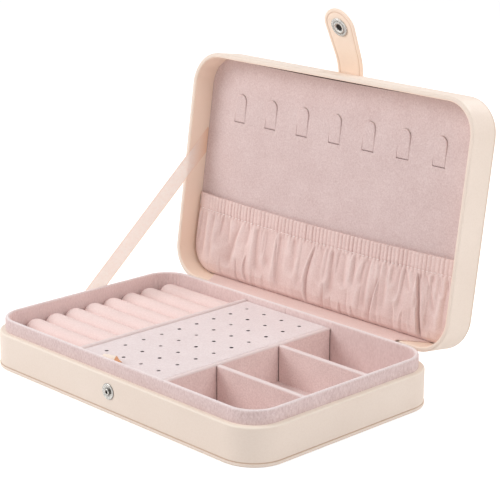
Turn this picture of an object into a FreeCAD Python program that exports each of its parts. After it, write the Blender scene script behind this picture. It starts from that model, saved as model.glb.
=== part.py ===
"""Hinged jewellery case with ring rolls, a lift-out earring board, cells and a lined lid.

Millimetres. X runs along the width, Y from the front wall to the hinge, Z up from the table.
The lid is drawn closed and then turned open about the hinge, as it stands on its stay ribbon.
"""
import FreeCAD, Part
import math
import os

V = FreeCAD.Vector

# Case
WIDTH = 230.0
DEPTH = 147.0
CORNER_R = 21.3
BASE_H = 22.1
LID_H = 21.5
RIM_GAP = 0.4
OPEN_DEG = 98.2

# Sheet goods
LEATHER_T = 0.8
BOARD_T = 1.5
VELVET_T = 0.5
CARD_T = 1.6

# Base walls and raised collar
BASE_WALL_T = 3.5
BASE_EDGE_R = 1.2
FOOT_PROUD = 0.35
COLLAR_T = 2.5
COLLAR_RISE = 8.1
COLLAR_EDGE_R = 1.1

# Lid walls and lining
LID_WALL_T = 2.85
LID_EDGE_R = 1.1
LID_TOP_R = 2.0
LID_RECESS = 15.6
LINING_FIT = 0.15

# Cloth hinge
HINGE_SETBACK = 2.5
HINGE_HALF_W = 91.0
HINGE_FLANGE = 9.0
LINING_T = 0.6
LINING_HALF_W = 80.0
LINING_FLARE = 12.0
LINING_TUCK = 10.0
TUCK_FIT = 0.05

# Inside of the base
FLOOR_CARD_T = 1.5
PARTITION_T = 2.7
PARTITION_R = 1.0
FIT = 0.3
GLUE_FIT = 0.1
ROLL_BAY = 70.7
CELL_BAY = 73.5

# Ring rolls
ROLL_COUNT = 9
ROLL_GAP = 0.15
ROLL_TOP_DROP = 6.0
ROLL_FLAT = 0.8
ROLL_END_R = 6.4
ROLL_SEAT_R = 1.5
CORNER_ROLL_CUT = 2.5

# Earring board
BOARD_PLATE_T = 3.0
BOARD_DROP = 3.8
BOARD_EDGE_R = 0.8
BOARD_FRONT_GAP = 1.4
HOLE_R = 1.1
HOLE_COLS = 4
HOLE_ROWS = 9
HOLE_SIDE_MARGIN = 11.5
HOLE_END_MARGIN = 11.4
REST_W = 4.0
REST_SHORT = 7.0
TAB_W = 10.6
TAB_X = -8.4
TAB_T = 0.7
TAB_RISE = 3.9
TAB_LEAN = 1.6
TAB_FOOT = 4.0

# Cells
CELL_WALL_T = 3.2
CELL_DROP = 4.2
FRONT_CELL_Y = -23.2
REAR_CELL_Y = 25.5

# Necklace tabs in the lid lining
HOOK_COUNT = 7
HOOK_W = 8.8
HOOK_LEN = 18.0
HOOK_T = 1.1
HOOK_LEFT = 30.7
HOOK_RIGHT = 34.3
HOOK_ROOT_Y = -30.5
HOOK_LIFT_DEG = 3.5
HOOK_FIT = 0.35

# Gathered pocket
POCKET_TOP_Y = 18.4
POCKET_SAG = 2.4
HEM_H = 10.5
POCKET_FIT = 0.4
CLOTH_T = 0.8
HEM_T = 1.6
ELASTIC_T = 0.5
FOLD_COUNT = 17
POCKET_BULGE = 3.6
FOLD_DEPTH = 1.5

# Closing strap
STRAP_W = 20.0
STRAP_HEAD_W = 23.4
STRAP_T = 1.4
STRAP_ANCHOR_L = 25.0
STRAP_ROOT_GAP = 1.4
STRAP_PIVOT_OUT = 0.5
STRAP_START_DEG = 12.0
STRAP_SLOPE_DEG = 31.0
STRAP_TIP_DEG = 18.0
STRAP_BEND_L = 12.0
STRAP_STRAIGHT_L = 24.5
STRAP_TIP_L = 6.5
SNAP_ALONG = 19.0

# Press stud
SNAP_R = 4.8
SOCKET_R = 6.2
SNAP_PLATE_T = 0.6
SNAP_POST_R = 1.9
SNAP_POST_H = 1.0
SNAP_BORE_R = 2.35
SNAP_RING_T = 0.9
SNAP_CAP_T = 1.1
RIVET_R = 1.5
RIVET_HEAD_R = 4.0
RIVET_FIT = 0.05

# Stay ribbon
RIBBON_W = 11.6
RIBBON_T = 0.4
RIBBON_BASE_Y = 9.9
RIBBON_LID_Y = -16.1
RIBBON_TUCK = 10.0

# Levels and lines that follow
HALF_D = DEPTH / 2
FOOT_H = LEATHER_T + BOARD_T
FLOOR_Z = FOOT_H + FLOOR_CARD_T
COLLAR_Z = BASE_H + COLLAR_RISE
CAVITY_INSET = BASE_WALL_T + COLLAR_T
CAVITY_X = WIDTH / 2 - CAVITY_INSET
CAVITY_Y = HALF_D - CAVITY_INSET
ROLL_WALL_X = -CAVITY_X + ROLL_BAY
TRAY_WALL_X = CAVITY_X - CELL_BAY
LID_RIM_Z = BASE_H + RIM_GAP
LID_TOP_Z = LID_RIM_Z + LID_H
LID_PLATE_Z = LID_TOP_Z - FOOT_H
PANEL_Z = LID_RIM_Z + LID_RECESS
HINGE_Y = HALF_D + HINGE_SETBACK
HINGE_Z = BASE_H + RIM_GAP / 2
STRAP_PIVOT_Y = -HALF_D - STRAP_PIVOT_OUT
STRAP_FOLD_DEG = 90.0 - STRAP_SLOPE_DEG
HOOK_AXIS_Y = HOOK_ROOT_Y - HOOK_FIT - HOOK_T / 2
HOOK_AXIS_Z = PANEL_Z + HOOK_T / 2


def outline(inset, z):
    """Rounded rectangle of the case, moved in by inset, at level z."""
    x = WIDTH / 2 - inset
    y = HALF_D - inset
    r = CORNER_R - inset
    k = r * (1 - math.sqrt(0.5))
    edges = []
    for sx, sy in ((1, -1), (1, 1), (-1, 1), (-1, -1)):
        ends = [V(sx * x, sy * (y - r), z), V(sx * (x - r), sy * y, z)]
        mid = V(sx * (x - k), sy * (y - k), z)
        if sx * sy < 0:
            ends.reverse()
        edges.append((ends[0], mid, ends[1]))
    wire = []
    for i, (start, mid, end) in enumerate(edges):
        wire.append(Part.Arc(start, mid, end).toShape())
        wire.append(Part.makeLine(end, edges[(i + 1) % 4][0]))
    return Part.Wire(wire)


def block(inset, low, high):
    """Solid plate of the case outline between two levels."""
    return Part.Face(outline(inset, low)).extrude(V(0, 0, high - low))


def ring(outer, inner, low, high):
    """Wall that follows the case outline between two insets."""
    return block(outer, low, high).cut(block(inner, low - 1, high + 1))


def box(x0, x1, y0, y1, z0, z1):
    """Box between two corners."""
    return Part.makeBox(x1 - x0, y1 - y0, z1 - z0, V(x0, y0, z0))


def disc(radius, length, x, y, z, axis):
    """Cylinder from a point along an axis."""
    return Part.makeCylinder(radius, length, V(x, y, z), axis)


def round_level(shape, level, radius):
    """Round every edge that lies in one level."""
    edges = []
    for e in shape.Edges:
        b = e.BoundBox
        if abs(b.ZMin - level) < 1e-4 and abs(b.ZMax - level) < 1e-4:
            edges.append(e)
    return shape.makeFillet(radius, edges)


def opened(shape):
    """Turn a lid piece from closed to its open rest."""
    moved = shape.copy()
    moved.rotate(V(0, HINGE_Y, HINGE_Z), V(1, 0, 0), -OPEN_DEG)
    return moved


def open_point(y, z):
    """Open position of a point that is given on the closed lid."""
    a = math.radians(OPEN_DEG)
    dy = y - HINGE_Y
    dz = z - HINGE_Z
    return HINGE_Y + dy * math.cos(a) + dz * math.sin(a), HINGE_Z - dy * math.sin(a) + dz * math.cos(a)


def prism(points, low_x, high_x):
    """Flat outline in the Y and Z plane, drawn along X."""
    corners = [V(low_x, y, z) for y, z in points]
    face = Part.Face(Part.makePolygon(corners + corners[:1]))
    return face.extrude(V(high_x - low_x, 0, 0))


def save(name, shape):
    """Write one piece as its own file."""
    shape.exportStep("parts/" + name + ".step")


# Closing strap, drawn on the closed lid
def strap_path():
    """Points of the strap's middle line from root to tip, as (y, z, slope in degrees)."""
    y = STRAP_PIVOT_Y
    z = LID_TOP_Z
    line = [(y, z, STRAP_START_DEG)]
    for start, end, length in (
        (STRAP_START_DEG, STRAP_SLOPE_DEG, STRAP_BEND_L),
        (STRAP_SLOPE_DEG, STRAP_SLOPE_DEG, STRAP_STRAIGHT_L),
        (STRAP_SLOPE_DEG, STRAP_TIP_DEG, STRAP_TIP_L),
    ):
        a = math.radians((start + end) / 2)
        turn = math.radians(abs(end - start))
        chord = length
        if turn > 0:
            chord = 2 * length / turn * math.sin(turn / 2)
        middle = (start * 3 + end) / 4
        half = 0.5 * chord / math.cos(turn / 4)
        m = math.radians(middle)
        line.append((y - half * math.cos(m), z - half * math.sin(m), (start + end) / 2))
        y -= chord * math.cos(a)
        z -= chord * math.sin(a)
        line.append((y, z, end))
    return line


def strap_face_point(point, side):
    """A point on the strap's face, above (+1) or below (-1) its middle line."""
    y, z, slope = point
    a = math.radians(slope)
    t = side * STRAP_T / 2
    return V(0, y - t * math.sin(a), z + t * math.cos(a))


def strap_edge(line, side):
    """One face of the strap as an arc, a line and an arc."""
    p = [strap_face_point(q, side) for q in line]
    return [
        Part.Arc(p[0], p[1], p[2]).toShape(),
        Part.makeLine(p[2], p[4]),
        Part.Arc(p[4], p[5], p[6]).toShape(),
    ]


def snap_on_strap():
    """Middle of the press stud on the strap, as (y, z)."""
    y, z, slope = strap_path()[2]
    a = math.radians(slope)
    return y - SNAP_ALONG * math.cos(a), z - SNAP_ALONG * math.sin(a)


def snap_when_closed():
    """Where the strap's stud comes to lie once the strap is folded down."""
    y, z = snap_on_strap()
    a = math.radians(STRAP_FOLD_DEG)
    dy = y - STRAP_PIVOT_Y
    dz = z - LID_TOP_Z
    return STRAP_PIVOT_Y + dy * math.cos(a) - dz * math.sin(a), LID_TOP_Z + dy * math.sin(a) + dz * math.cos(a)


STUD_Z = snap_when_closed()[1]


def strap_normal():
    """Outward direction of the strap's straight run."""
    a = math.radians(STRAP_SLOPE_DEG)
    return V(0, -math.sin(a), math.cos(a))


def strap_flap():
    """Free end of the strap: rolled at the fold, curved along its length, widening to a round tip."""
    line = strap_path()
    top = strap_edge(line, 1)
    low = strap_edge(line, -1)
    ends = [
        Part.makeLine(strap_face_point(line[6], 1), strap_face_point(line[6], -1)),
        Part.makeLine(strap_face_point(line[0], -1), strap_face_point(line[0], 1)),
    ]
    wire = Part.Wire(Part.__sortEdges__(top + low + ends))
    sheet = Part.Face(wire).extrude(V(STRAP_HEAD_W, 0, 0))
    sheet.translate(V(-STRAP_HEAD_W / 2, 0, 0))
    n = strap_normal()
    along = V(0, -n.z, n.y)
    tip = V(0, line[6][0], line[6][1])
    head = STRAP_HEAD_W / 2
    run = STRAP_BEND_L + STRAP_STRAIGHT_L + STRAP_TIP_L - head
    nose = tip - along * head
    tail = nose - along * (2 * run)
    side = V(head, 0, 0)
    end = V(STRAP_W - head, 0, 0)
    arc = Part.Arc(nose + side, tip, nose - side).toShape()
    plan = Part.Wire([
        arc,
        Part.makeLine(nose - side, tail - end),
        Part.makeLine(tail - end, tail + end),
        Part.makeLine(tail + end, nose + side),
    ])
    cutter = Part.Face(plan).extrude(n * 40)
    cutter.translate(n * -20)
    y, z = snap_on_strap()
    hole = disc(RIVET_R + RIVET_FIT, 10, 0, y - n.y * 5, z - n.z * 5, n)
    fold = disc(STRAP_T / 2, STRAP_W, -STRAP_W / 2, STRAP_PIVOT_Y, LID_TOP_Z, V(1, 0, 0))
    return sheet.common(cutter).fuse(fold).removeSplitter().cut(hole)


def snap_socket():
    """Sprung ring under the strap that closes over the stud."""
    y, z = snap_on_strap()
    n = strap_normal()
    a = V(0, y, z) - n * (STRAP_T / 2 + SNAP_RING_T)
    body = Part.makeCylinder(SOCKET_R, SNAP_RING_T, a, n)
    return body.cut(Part.makeCylinder(SNAP_BORE_R, SNAP_RING_T + 2, a - n, n))


def snap_cap():
    """Domed cap on the strap's outside with its rivet through the strap."""
    y, z = snap_on_strap()
    n = strap_normal()
    face = V(0, y, z) + n * (STRAP_T / 2)
    head = Part.makeCylinder(SOCKET_R, SNAP_CAP_T, face, n)
    rim = [e for e in head.Edges if e.Closed and (e.CenterOfMass - face).Length > SNAP_CAP_T / 2]
    head = head.makeFillet(SNAP_CAP_T * 0.8, rim)
    shank = Part.makeCylinder(RIVET_R, STRAP_T, face - n * STRAP_T, n)
    return head.fuse(shank).removeSplitter()


def strap_anchor():
    """Sewn-down end of the strap on the lid's top."""
    front = STRAP_PIVOT_Y + STRAP_ROOT_GAP
    return box(-STRAP_W / 2, STRAP_W / 2, front, front + STRAP_ANCHOR_L, LID_TOP_Z, LID_TOP_Z + STRAP_T)


# Stay ribbon
def ribbon_outline():
    """Corners of the flat ribbon in the Y and Z plane at rest."""
    lid_y, lid_z = open_point(RIBBON_LID_Y, PANEL_Z)
    run = V(0, lid_y - RIBBON_BASE_Y, lid_z - COLLAR_Z)
    run.normalize()
    side = V(0, -run.z, run.y) * (RIBBON_W / 2)
    foot_z = BASE_H - RIBBON_TUCK
    foot = []
    for s in (-1, 1):
        p = V(0, RIBBON_BASE_Y, COLLAR_Z) + side * s
        foot.append(p + run * ((foot_z - p.z) / run.z))
    near = open_point(0, PANEL_Z)
    far = open_point(-1, PANEL_Z)
    wall = V(0, far[0] - near[0], far[1] - near[1])
    into = V(0, -wall.z, wall.y)
    head = []
    for p in foot:
        gap = (V(0, near[0], near[1]) - p).dot(into)
        head.append(p + run * (gap / run.dot(into)))
    return [(p.y, p.z) for p in (foot[0], foot[1], head[1], head[0])]


def stay_ribbon():
    """Flat ribbon from behind the left collar to the lid's left wall."""
    outside = -WIDTH / 2 + LID_WALL_T
    return prism(ribbon_outline(), outside, outside + RIBBON_T)


def ribbon_slot():
    """Room for the ribbon's tail between the base wall and the collar."""
    foot = ribbon_outline()
    ys = [p[0] for p in foot[:2]]
    reach = RIBBON_TUCK / math.tan(math.radians(35))
    outside = -WIDTH / 2 + LID_WALL_T - TUCK_FIT
    inside = -WIDTH / 2 + BASE_WALL_T
    low = BASE_H - RIBBON_TUCK - TUCK_FIT
    return box(outside, inside, min(ys) - 1, max(ys) + reach, low, BASE_H + 1)


# Cloth hinge
def hinge_band(radii, half_w, tail):
    """Strip that lies on both rear walls and bends round the hinge line between them."""
    outer, inside = radii
    down = box(-half_w, half_w, HINGE_Y - outer, HINGE_Y - inside, HINGE_Z - tail, HINGE_Z)
    full = disc(outer, 2 * half_w, -half_w, HINGE_Y, HINGE_Z, V(1, 0, 0))
    hole = disc(inside, 2 * half_w, -half_w, HINGE_Y, HINGE_Z, V(1, 0, 0))
    near = (HINGE_Y - 3 * outer, HINGE_Z)
    a = math.radians(180 - OPEN_DEG)
    far = (HINGE_Y + 4 * outer * math.cos(a), HINGE_Z + 4 * outer * math.sin(a))
    corner = (HINGE_Y - 3 * outer, HINGE_Z + 4 * outer * math.sin(a))
    wedge = prism([(HINGE_Y, HINGE_Z), far, corner, near], -half_w, half_w)
    return down, full.cut(hole).common(wedge)


def hinge_leather():
    """Outer cover strip over the joint of the two rear walls."""
    radii = (HINGE_SETBACK, HINGE_SETBACK - LEATHER_T)
    down, bend = hinge_band(radii, HINGE_HALF_W, HINGE_FLANGE)
    up = box(-HINGE_HALF_W, HINGE_HALF_W, HALF_D, HALF_D + LEATHER_T, HINGE_Z, HINGE_Z + HINGE_FLANGE)
    return down.fuse([bend, opened(up)]).removeSplitter()


def hinge_lining():
    """Inner cloth strip, tucked behind the rear collar and glued up the lid's rear wall."""
    inside = HINGE_SETBACK + LID_WALL_T
    radii = (inside + LINING_T, inside)
    down, bend = hinge_band(radii, LINING_HALF_W, LINING_TUCK + RIM_GAP / 2)
    y = HALF_D - LID_WALL_T
    wide = LINING_HALF_W + LINING_FLARE
    top = PANEL_Z - LINING_FIT
    corners = [V(-LINING_HALF_W, y, HINGE_Z), V(LINING_HALF_W, y, HINGE_Z), V(wide, y, top), V(-wide, y, top)]
    up = Part.Face(Part.makePolygon(corners + corners[:1])).extrude(V(0, -LINING_T, 0))
    return down.fuse([bend, opened(up)]).removeSplitter()


def lining_slot():
    """Room for the hinge lining between the rear wall and the collar."""
    half = LINING_HALF_W + TUCK_FIT
    outside = HALF_D - LID_WALL_T + TUCK_FIT
    low = BASE_H - LINING_TUCK - TUCK_FIT
    return box(-half, half, HALF_D - BASE_WALL_T, outside, low, BASE_H + 1)


# Base
def foot_leather():
    """Leather under the base, turned up round the bottom board."""
    plate = block(-FOOT_PROUD, 0, FOOT_H)
    plate = round_level(plate, 0, LEATHER_T)
    plate = round_level(plate, FOOT_H, LEATHER_T / 2)
    return plate.cut(block(LEATHER_T, LEATHER_T, FOOT_H + 1))


def base_wall():
    """Leather and board of the outer wall, with the tucks and the stud hole."""
    full = round_level(block(0, FOOT_H, BASE_H), BASE_H, BASE_EDGE_R)
    full = full.cut(block(BASE_WALL_T, FOOT_H - 1, BASE_H + 1))
    core = ring(LEATHER_T, BASE_WALL_T, FOOT_H, BASE_H - LEATHER_T)
    tucks = lining_slot().fuse(ribbon_slot())
    hole = disc(RIVET_R + RIVET_FIT, BASE_WALL_T + 2, 0, -HALF_D - 1, STUD_Z, V(0, 1, 0))
    inner = -HALF_D + BASE_WALL_T
    sunk = SNAP_PLATE_T + RIVET_FIT
    pit = disc(RIVET_HEAD_R + RIVET_FIT, sunk, 0, inner - sunk, STUD_Z, V(0, 1, 0))
    cover = full.cut(core).cut(tucks).cut(hole)
    return cover, core.cut(tucks).cut(hole).cut(pit)


def collar():
    """Velvet and card of the raised inner frame."""
    full = round_level(ring(BASE_WALL_T, CAVITY_INSET, FOOT_H, COLLAR_Z), COLLAR_Z, COLLAR_EDGE_R)
    core = ring(BASE_WALL_T + VELVET_T, CAVITY_INSET - VELVET_T, FOOT_H, COLLAR_Z - VELVET_T)
    return full.cut(core), core


def partition(x0, x1, y0, y1, top):
    """Upright covered board on the floor with a soft top edge."""
    return round_level(box(x0, x1, y0, y1, FLOOR_Z, top), top, PARTITION_R)


def roll_size():
    """Pitch, radius and axis level of the ring rolls."""
    pitch = 2 * CAVITY_Y / ROLL_COUNT
    radius = (pitch - ROLL_GAP) / 2
    return pitch, radius, COLLAR_Z - ROLL_TOP_DROP - radius


def ring_roll(index):
    """Padded roll along X with a drawn-in free end and a flat underside; the outer two fill the corners."""
    pitch, radius, axis_z = roll_size()
    y = (index - (ROLL_COUNT - 1) / 2) * pitch
    start = -CAVITY_X + FIT
    in_corner = index in (0, ROLL_COUNT - 1)
    if in_corner:
        start += CORNER_ROLL_CUT
    end = ROLL_WALL_X - GLUE_FIT
    body = disc(radius, end - start, start, y, axis_z, V(1, 0, 0))
    ends = [e for e in body.Edges if e.Closed]
    free = [e for e in ends if e.CenterOfMass.x < (start + end) / 2]
    body = body.makeFillet(ROLL_END_R, free)
    seat = [e for e in body.Edges if e.Closed and abs(e.CenterOfMass.x - end) < 1e-4]
    body = body.makeFillet(ROLL_SEAT_R, seat)
    if in_corner:
        body = body.common(block(CAVITY_INSET + FIT, FLOOR_Z, COLLAR_Z))
    low = axis_z - radius
    return body.cut(box(start - 1, end + 1, y - radius, y + radius, low - 1, low + ROLL_FLAT))


def roll_bed():
    """Foam block that carries the ring rolls."""
    pitch, radius, axis_z = roll_size()
    top = axis_z - radius + ROLL_FLAT
    bay = box(-WIDTH, ROLL_WALL_X - GLUE_FIT, -DEPTH, DEPTH, FLOOR_Z, top)
    return block(CAVITY_INSET + GLUE_FIT, FLOOR_Z, top).common(bay)


def board_span():
    """Left, right, front, rear, underside and top of the earring board."""
    left = ROLL_WALL_X + PARTITION_T + FIT
    right = TRAY_WALL_X - PARTITION_T - FIT
    top = COLLAR_Z - BOARD_DROP
    return left, right, -CAVITY_Y + BOARD_FRONT_GAP, CAVITY_Y - FIT, top - BOARD_PLATE_T, top


def earring_board():
    """Covered plate with a grid of holes."""
    left, right, front, rear, low, top = board_span()
    plate = round_level(box(left, right, front, rear, low, top), top, BOARD_EDGE_R)
    step_x = (right - left - 2 * HOLE_SIDE_MARGIN) / (HOLE_COLS - 1)
    step_y = (rear - front - 2 * HOLE_END_MARGIN) / (HOLE_ROWS - 1)
    drills = []
    for i in range(HOLE_COLS):
        for j in range(HOLE_ROWS):
            x = left + HOLE_SIDE_MARGIN + i * step_x
            y = front + HOLE_END_MARGIN + j * step_y
            drills.append(disc(HOLE_R, BOARD_PLATE_T + 2, x, y, low - 1, V(0, 0, 1)))
    return plate.cut(Part.makeCompound(drills))


def pull_tab():
    """Folded ribbon on the board's front edge, standing up as a small tent."""
    left, right, front, rear, low, top = board_span()
    outer = front - TAB_T
    peak = (front + TAB_LEAN, top + TAB_RISE)
    foot = front + TAB_LEAN + TAB_FOOT
    skin = [
        (front, low), (outer, low), (outer, top), (peak[0] - TAB_T / 2, peak[1]),
        (peak[0] + TAB_T / 2, peak[1]), (foot, top + TAB_T), (foot, top),
        (foot - 2 * TAB_T, top), (peak[0], peak[1] - 1.5 * TAB_T), (front, top),
    ]
    return prism(skin, TAB_X - TAB_W / 2, TAB_X + TAB_W / 2)


def snap_stud():
    """Press stud on the front wall: plate and rounded post."""
    plate = disc(SNAP_R, SNAP_PLATE_T, 0, -HALF_D, STUD_Z, V(0, -1, 0))
    post = disc(SNAP_POST_R, SNAP_PLATE_T + SNAP_POST_H, 0, -HALF_D, STUD_Z, V(0, -1, 0))
    face = -HALF_D - SNAP_PLATE_T - SNAP_POST_H
    tip = [e for e in post.Edges if e.Closed and abs(e.CenterOfMass.y - face) < 1e-4]
    return plate.fuse(post.makeFillet(SNAP_POST_H * 0.4, tip)).removeSplitter()


def snap_rivet():
    """Rivet that holds the stud, headed in a pit behind the wall."""
    inner = -HALF_D + BASE_WALL_T
    head = disc(RIVET_HEAD_R, SNAP_PLATE_T, 0, inner - SNAP_PLATE_T, STUD_Z, V(0, 1, 0))
    shank = disc(RIVET_R, BASE_WALL_T - SNAP_PLATE_T, 0, -HALF_D, STUD_Z, V(0, 1, 0))
    return head.fuse(shank).removeSplitter()


# Lid, drawn closed
def lid_wall():
    """Leather and board of the lid's wall; the leather goes round the rim to the inside."""
    full = ring(0, LID_WALL_T, LID_RIM_Z, LID_PLATE_Z)
    full = round_level(full, LID_RIM_Z, LID_EDGE_R)
    inner = LID_WALL_T - LEATHER_T
    core = ring(LEATHER_T, inner, LID_RIM_Z + LEATHER_T, LID_PLATE_Z)
    return full.cut(core), core


def lid_top():
    """Leather and board of the lid's top plate."""
    plate = round_level(block(0, LID_PLATE_Z, LID_TOP_Z), LID_TOP_Z, LID_TOP_R)
    core = block(LID_TOP_R, LID_PLATE_Z, LID_TOP_Z - LEATHER_T)
    return plate.cut(core), core


def hook_outline(x, grow, root, z):
    """Tongue outline: straight root, round free end."""
    half = HOOK_W / 2 + grow
    free = HOOK_ROOT_Y - HOOK_LEN - grow
    shoulder = free + half
    return Part.Wire([
        Part.makeLine(V(x - half, root, z), V(x - half, shoulder, z)),
        Part.Arc(V(x - half, shoulder, z), V(x, free, z), V(x + half, shoulder, z)).toShape(),
        Part.makeLine(V(x + half, shoulder, z), V(x + half, root, z)),
        Part.makeLine(V(x + half, root, z), V(x - half, root, z)),
    ])


def hook_x(index):
    """Place of one necklace tab across the lid."""
    pitch = (WIDTH - HOOK_LEFT - HOOK_RIGHT) / (HOOK_COUNT - 1)
    return -WIDTH / 2 + HOOK_LEFT + index * pitch


def necklace_hook(index):
    """Tongue with a rolled root that stands a little out of the lining, free end to the front."""
    x = hook_x(index)
    plate = Part.Face(hook_outline(x, 0, HOOK_AXIS_Y, PANEL_Z)).extrude(V(0, 0, HOOK_T))
    fold = disc(HOOK_T / 2, HOOK_W, x - HOOK_W / 2, HOOK_AXIS_Y, HOOK_AXIS_Z, V(1, 0, 0))
    tongue = plate.fuse(fold).removeSplitter()
    tongue.rotate(V(0, HOOK_AXIS_Y, HOOK_AXIS_Z), V(1, 0, 0), HOOK_LIFT_DEG)
    return tongue


def lid_panel():
    """Lining card of the lid with a window behind each necklace tab."""
    card = block(LID_WALL_T + LINING_FIT, PANEL_Z, PANEL_Z + CARD_T)
    card = card.cut(box(-WIDTH, WIDTH, HALF_D - LID_WALL_T - LINING_T - LINING_FIT, DEPTH, 0, 2 * LID_TOP_Z))
    for i in range(HOOK_COUNT):
        rim = hook_outline(hook_x(i), HOOK_FIT, HOOK_ROOT_Y, PANEL_Z - 1)
        card = card.cut(Part.Face(rim).extrude(V(0, 0, CARD_T + 2)))
    return card


def lid_foam():
    """Foam sheet between the lining card and the lid's top board."""
    return block(LID_WALL_T + LINING_FIT, PANEL_Z + CARD_T, LID_PLATE_Z)


# Gathered pocket, drawn on the closed lid
def pocket_half_width(y):
    """Half the room between the lid's side walls at one line of the lining."""
    inset = LID_WALL_T + POCKET_FIT
    radius = CORNER_R - inset
    straight = HALF_D - CORNER_R
    cut = 0.0
    if y > straight:
        cut = radius - math.sqrt(radius ** 2 - (y - straight) ** 2)
    return WIDTH / 2 - inset - cut


def fold_edges():
    """Uneven fold borders across the pocket, as parts of its width from 0 to 1."""
    widths = [1 + 0.32 * math.sin(2.3 * i) + 0.18 * math.sin(5.1 * i + 1) for i in range(FOLD_COUNT)]
    total = sum(widths)
    marks = [0.0]
    for w in widths:
        marks.append(marks[-1] + w / total)
    return marks


def pocket_line(y, stand, fold, depth):
    """Points of one cross line of the cloth: fold borders and crests by turns."""
    half = pocket_half_width(y)
    marks = fold_edges()
    points = []
    for i, mark in enumerate(marks):
        ease = min(1.0, mark / 0.12, (1 - mark) / 0.12)
        points.append(V(half * (2 * mark - 1), y, PANEL_Z - depth - stand * ease))
        if i < FOLD_COUNT:
            mid = (mark + marks[i + 1]) / 2
            ease = min(1.0, mid / 0.12, (1 - mid) / 0.12)
            crest = fold * (0.75 + 0.25 * math.sin(4.1 * i))
            points.append(V(half * (2 * mid - 1), y, PANEL_Z - depth - stand * ease - crest))
    return points


def pocket_section(y, stand, fold, near, thick):
    """Closed cross line of the cloth, arcs from fold border to fold border on both faces."""
    front = pocket_line(y, stand, fold, near + thick)
    rear = pocket_line(y, stand, fold, near)
    edges = []
    for i in range(0, 2 * FOLD_COUNT, 2):
        edges.append(Part.Arc(front[i], front[i + 1], front[i + 2]).toShape())
    edges.append(Part.makeLine(front[-1], rear[-1]))
    for i in range(2 * FOLD_COUNT, 0, -2):
        edges.append(Part.Arc(rear[i], rear[i - 1], rear[i - 2]).toShape())
    edges.append(Part.makeLine(rear[0], front[0]))
    return Part.Wire(edges)


def below_line(y):
    """Room on the hinge side of a line that sags across the lid."""
    side = WIDTH / 2
    ends = [V(-side, y, 0), V(side, y, 0), V(side, DEPTH, 0), V(-side, DEPTH, 0)]
    wire = Part.Wire([
        Part.Arc(ends[0], V(0, y + POCKET_SAG, 0), ends[1]).toShape(),
        Part.makeLine(ends[1], ends[2]),
        Part.makeLine(ends[2], ends[3]),
        Part.makeLine(ends[3], ends[0]),
    ])
    return Part.Face(wire).extrude(V(0, 0, 2 * LID_TOP_Z))


def pocket_cloth():
    """Gathered cloth from the hem down to the lining's lower edge."""
    seam = POCKET_TOP_Y + HEM_H
    low = HALF_D - LID_WALL_T - LINING_T - POCKET_FIT
    tall = low - seam
    stations = (
        (0.0, 0.45, 0.35), (0.3, 0.9, 0.9), (0.6, 1.0, 1.0),
        (0.82, 0.8, 0.9), (0.94, 0.4, 0.6), (1.0, 0.02, 0.3),
    )
    lines = []
    for part, stand, fold in stations:
        y = seam + part * tall
        lines.append(pocket_section(y, stand * POCKET_BULGE, fold * FOLD_DEPTH, 0, CLOTH_T))
    return Part.makeLoft(lines, True, True).common(below_line(seam))


def hem_loft(top, low, near, thick):
    """Length of the pocket's top hem between two sagging lines."""
    lines = []
    for y in (POCKET_TOP_Y - POCKET_SAG, POCKET_TOP_Y + HEM_H + 2 * POCKET_SAG):
        part = (y - POCKET_TOP_Y) / HEM_H
        stand = (0.3 + 0.15 * part) * POCKET_BULGE
        lines.append(pocket_section(y, stand, 0.35 * FOLD_DEPTH, near, thick))
    return Part.makeLoft(lines, True, True).common(below_line(top)).cut(below_line(low))


def pocket_hem():
    """Doubled top hem of the pocket and the flat elastic inside it."""
    low = POCKET_TOP_Y + HEM_H
    margin = HEM_H * 0.2
    inside = (HEM_T - ELASTIC_T) / 2
    top = POCKET_TOP_Y + margin
    end = low - margin
    elastic = hem_loft(top, end, inside, ELASTIC_T)
    tunnel = hem_loft(top - TUCK_FIT, end + TUCK_FIT, inside - TUCK_FIT, ELASTIC_T + 2 * TUCK_FIT)
    return hem_loft(POCKET_TOP_Y, low, 0, HEM_T).cut(tunnel), elastic


os.makedirs("parts", exist_ok=True)

# Base pieces
save("base_foot_leather", foot_leather())
save("base_bottom_board", block(LEATHER_T, LEATHER_T, FOOT_H))
wall_leather, wall_board = base_wall()
save("base_wall_leather", wall_leather)
save("base_wall_board", wall_board)
collar_velvet, collar_board = collar()
save("collar_velvet", collar_velvet)
save("collar_board", collar_board)
save("floor_lining", block(CAVITY_INSET + GLUE_FIT, FOOT_H, FLOOR_Z))
save("roll_bed", roll_bed())
for n in range(ROLL_COUNT):
    save("ring_roll_%d" % (n + 1), ring_roll(n))
END_Y = CAVITY_Y - FIT
BOARD_LEFT, BOARD_RIGHT, BOARD_FRONT, BOARD_REAR, BOARD_LOW, BOARD_TOP = board_span()
save("roll_partition", partition(ROLL_WALL_X, ROLL_WALL_X + PARTITION_T, -END_Y, END_Y, BOARD_TOP + 1.0))
save("tray_partition", partition(TRAY_WALL_X - PARTITION_T, TRAY_WALL_X, -END_Y, END_Y, BOARD_TOP))
REST_Y = END_Y - REST_SHORT
LEFT_REST = ROLL_WALL_X + PARTITION_T
RIGHT_REST = TRAY_WALL_X - PARTITION_T
save("board_rest_left", box(LEFT_REST, LEFT_REST + REST_W, -REST_Y, REST_Y, FLOOR_Z, BOARD_LOW))
save("board_rest_right", box(RIGHT_REST - REST_W, RIGHT_REST, -REST_Y, REST_Y, FLOOR_Z, BOARD_LOW))
save("earring_board", earring_board())
save("board_pull_tab", pull_tab())
CELL_TOP = COLLAR_Z - CELL_DROP
for name, y in (("cell_divider_front", FRONT_CELL_Y), ("cell_divider_rear", REAR_CELL_Y)):
    half = CELL_WALL_T / 2
    save(name, partition(TRAY_WALL_X + FIT, CAVITY_X - FIT, y - half, y + half, CELL_TOP))
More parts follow.
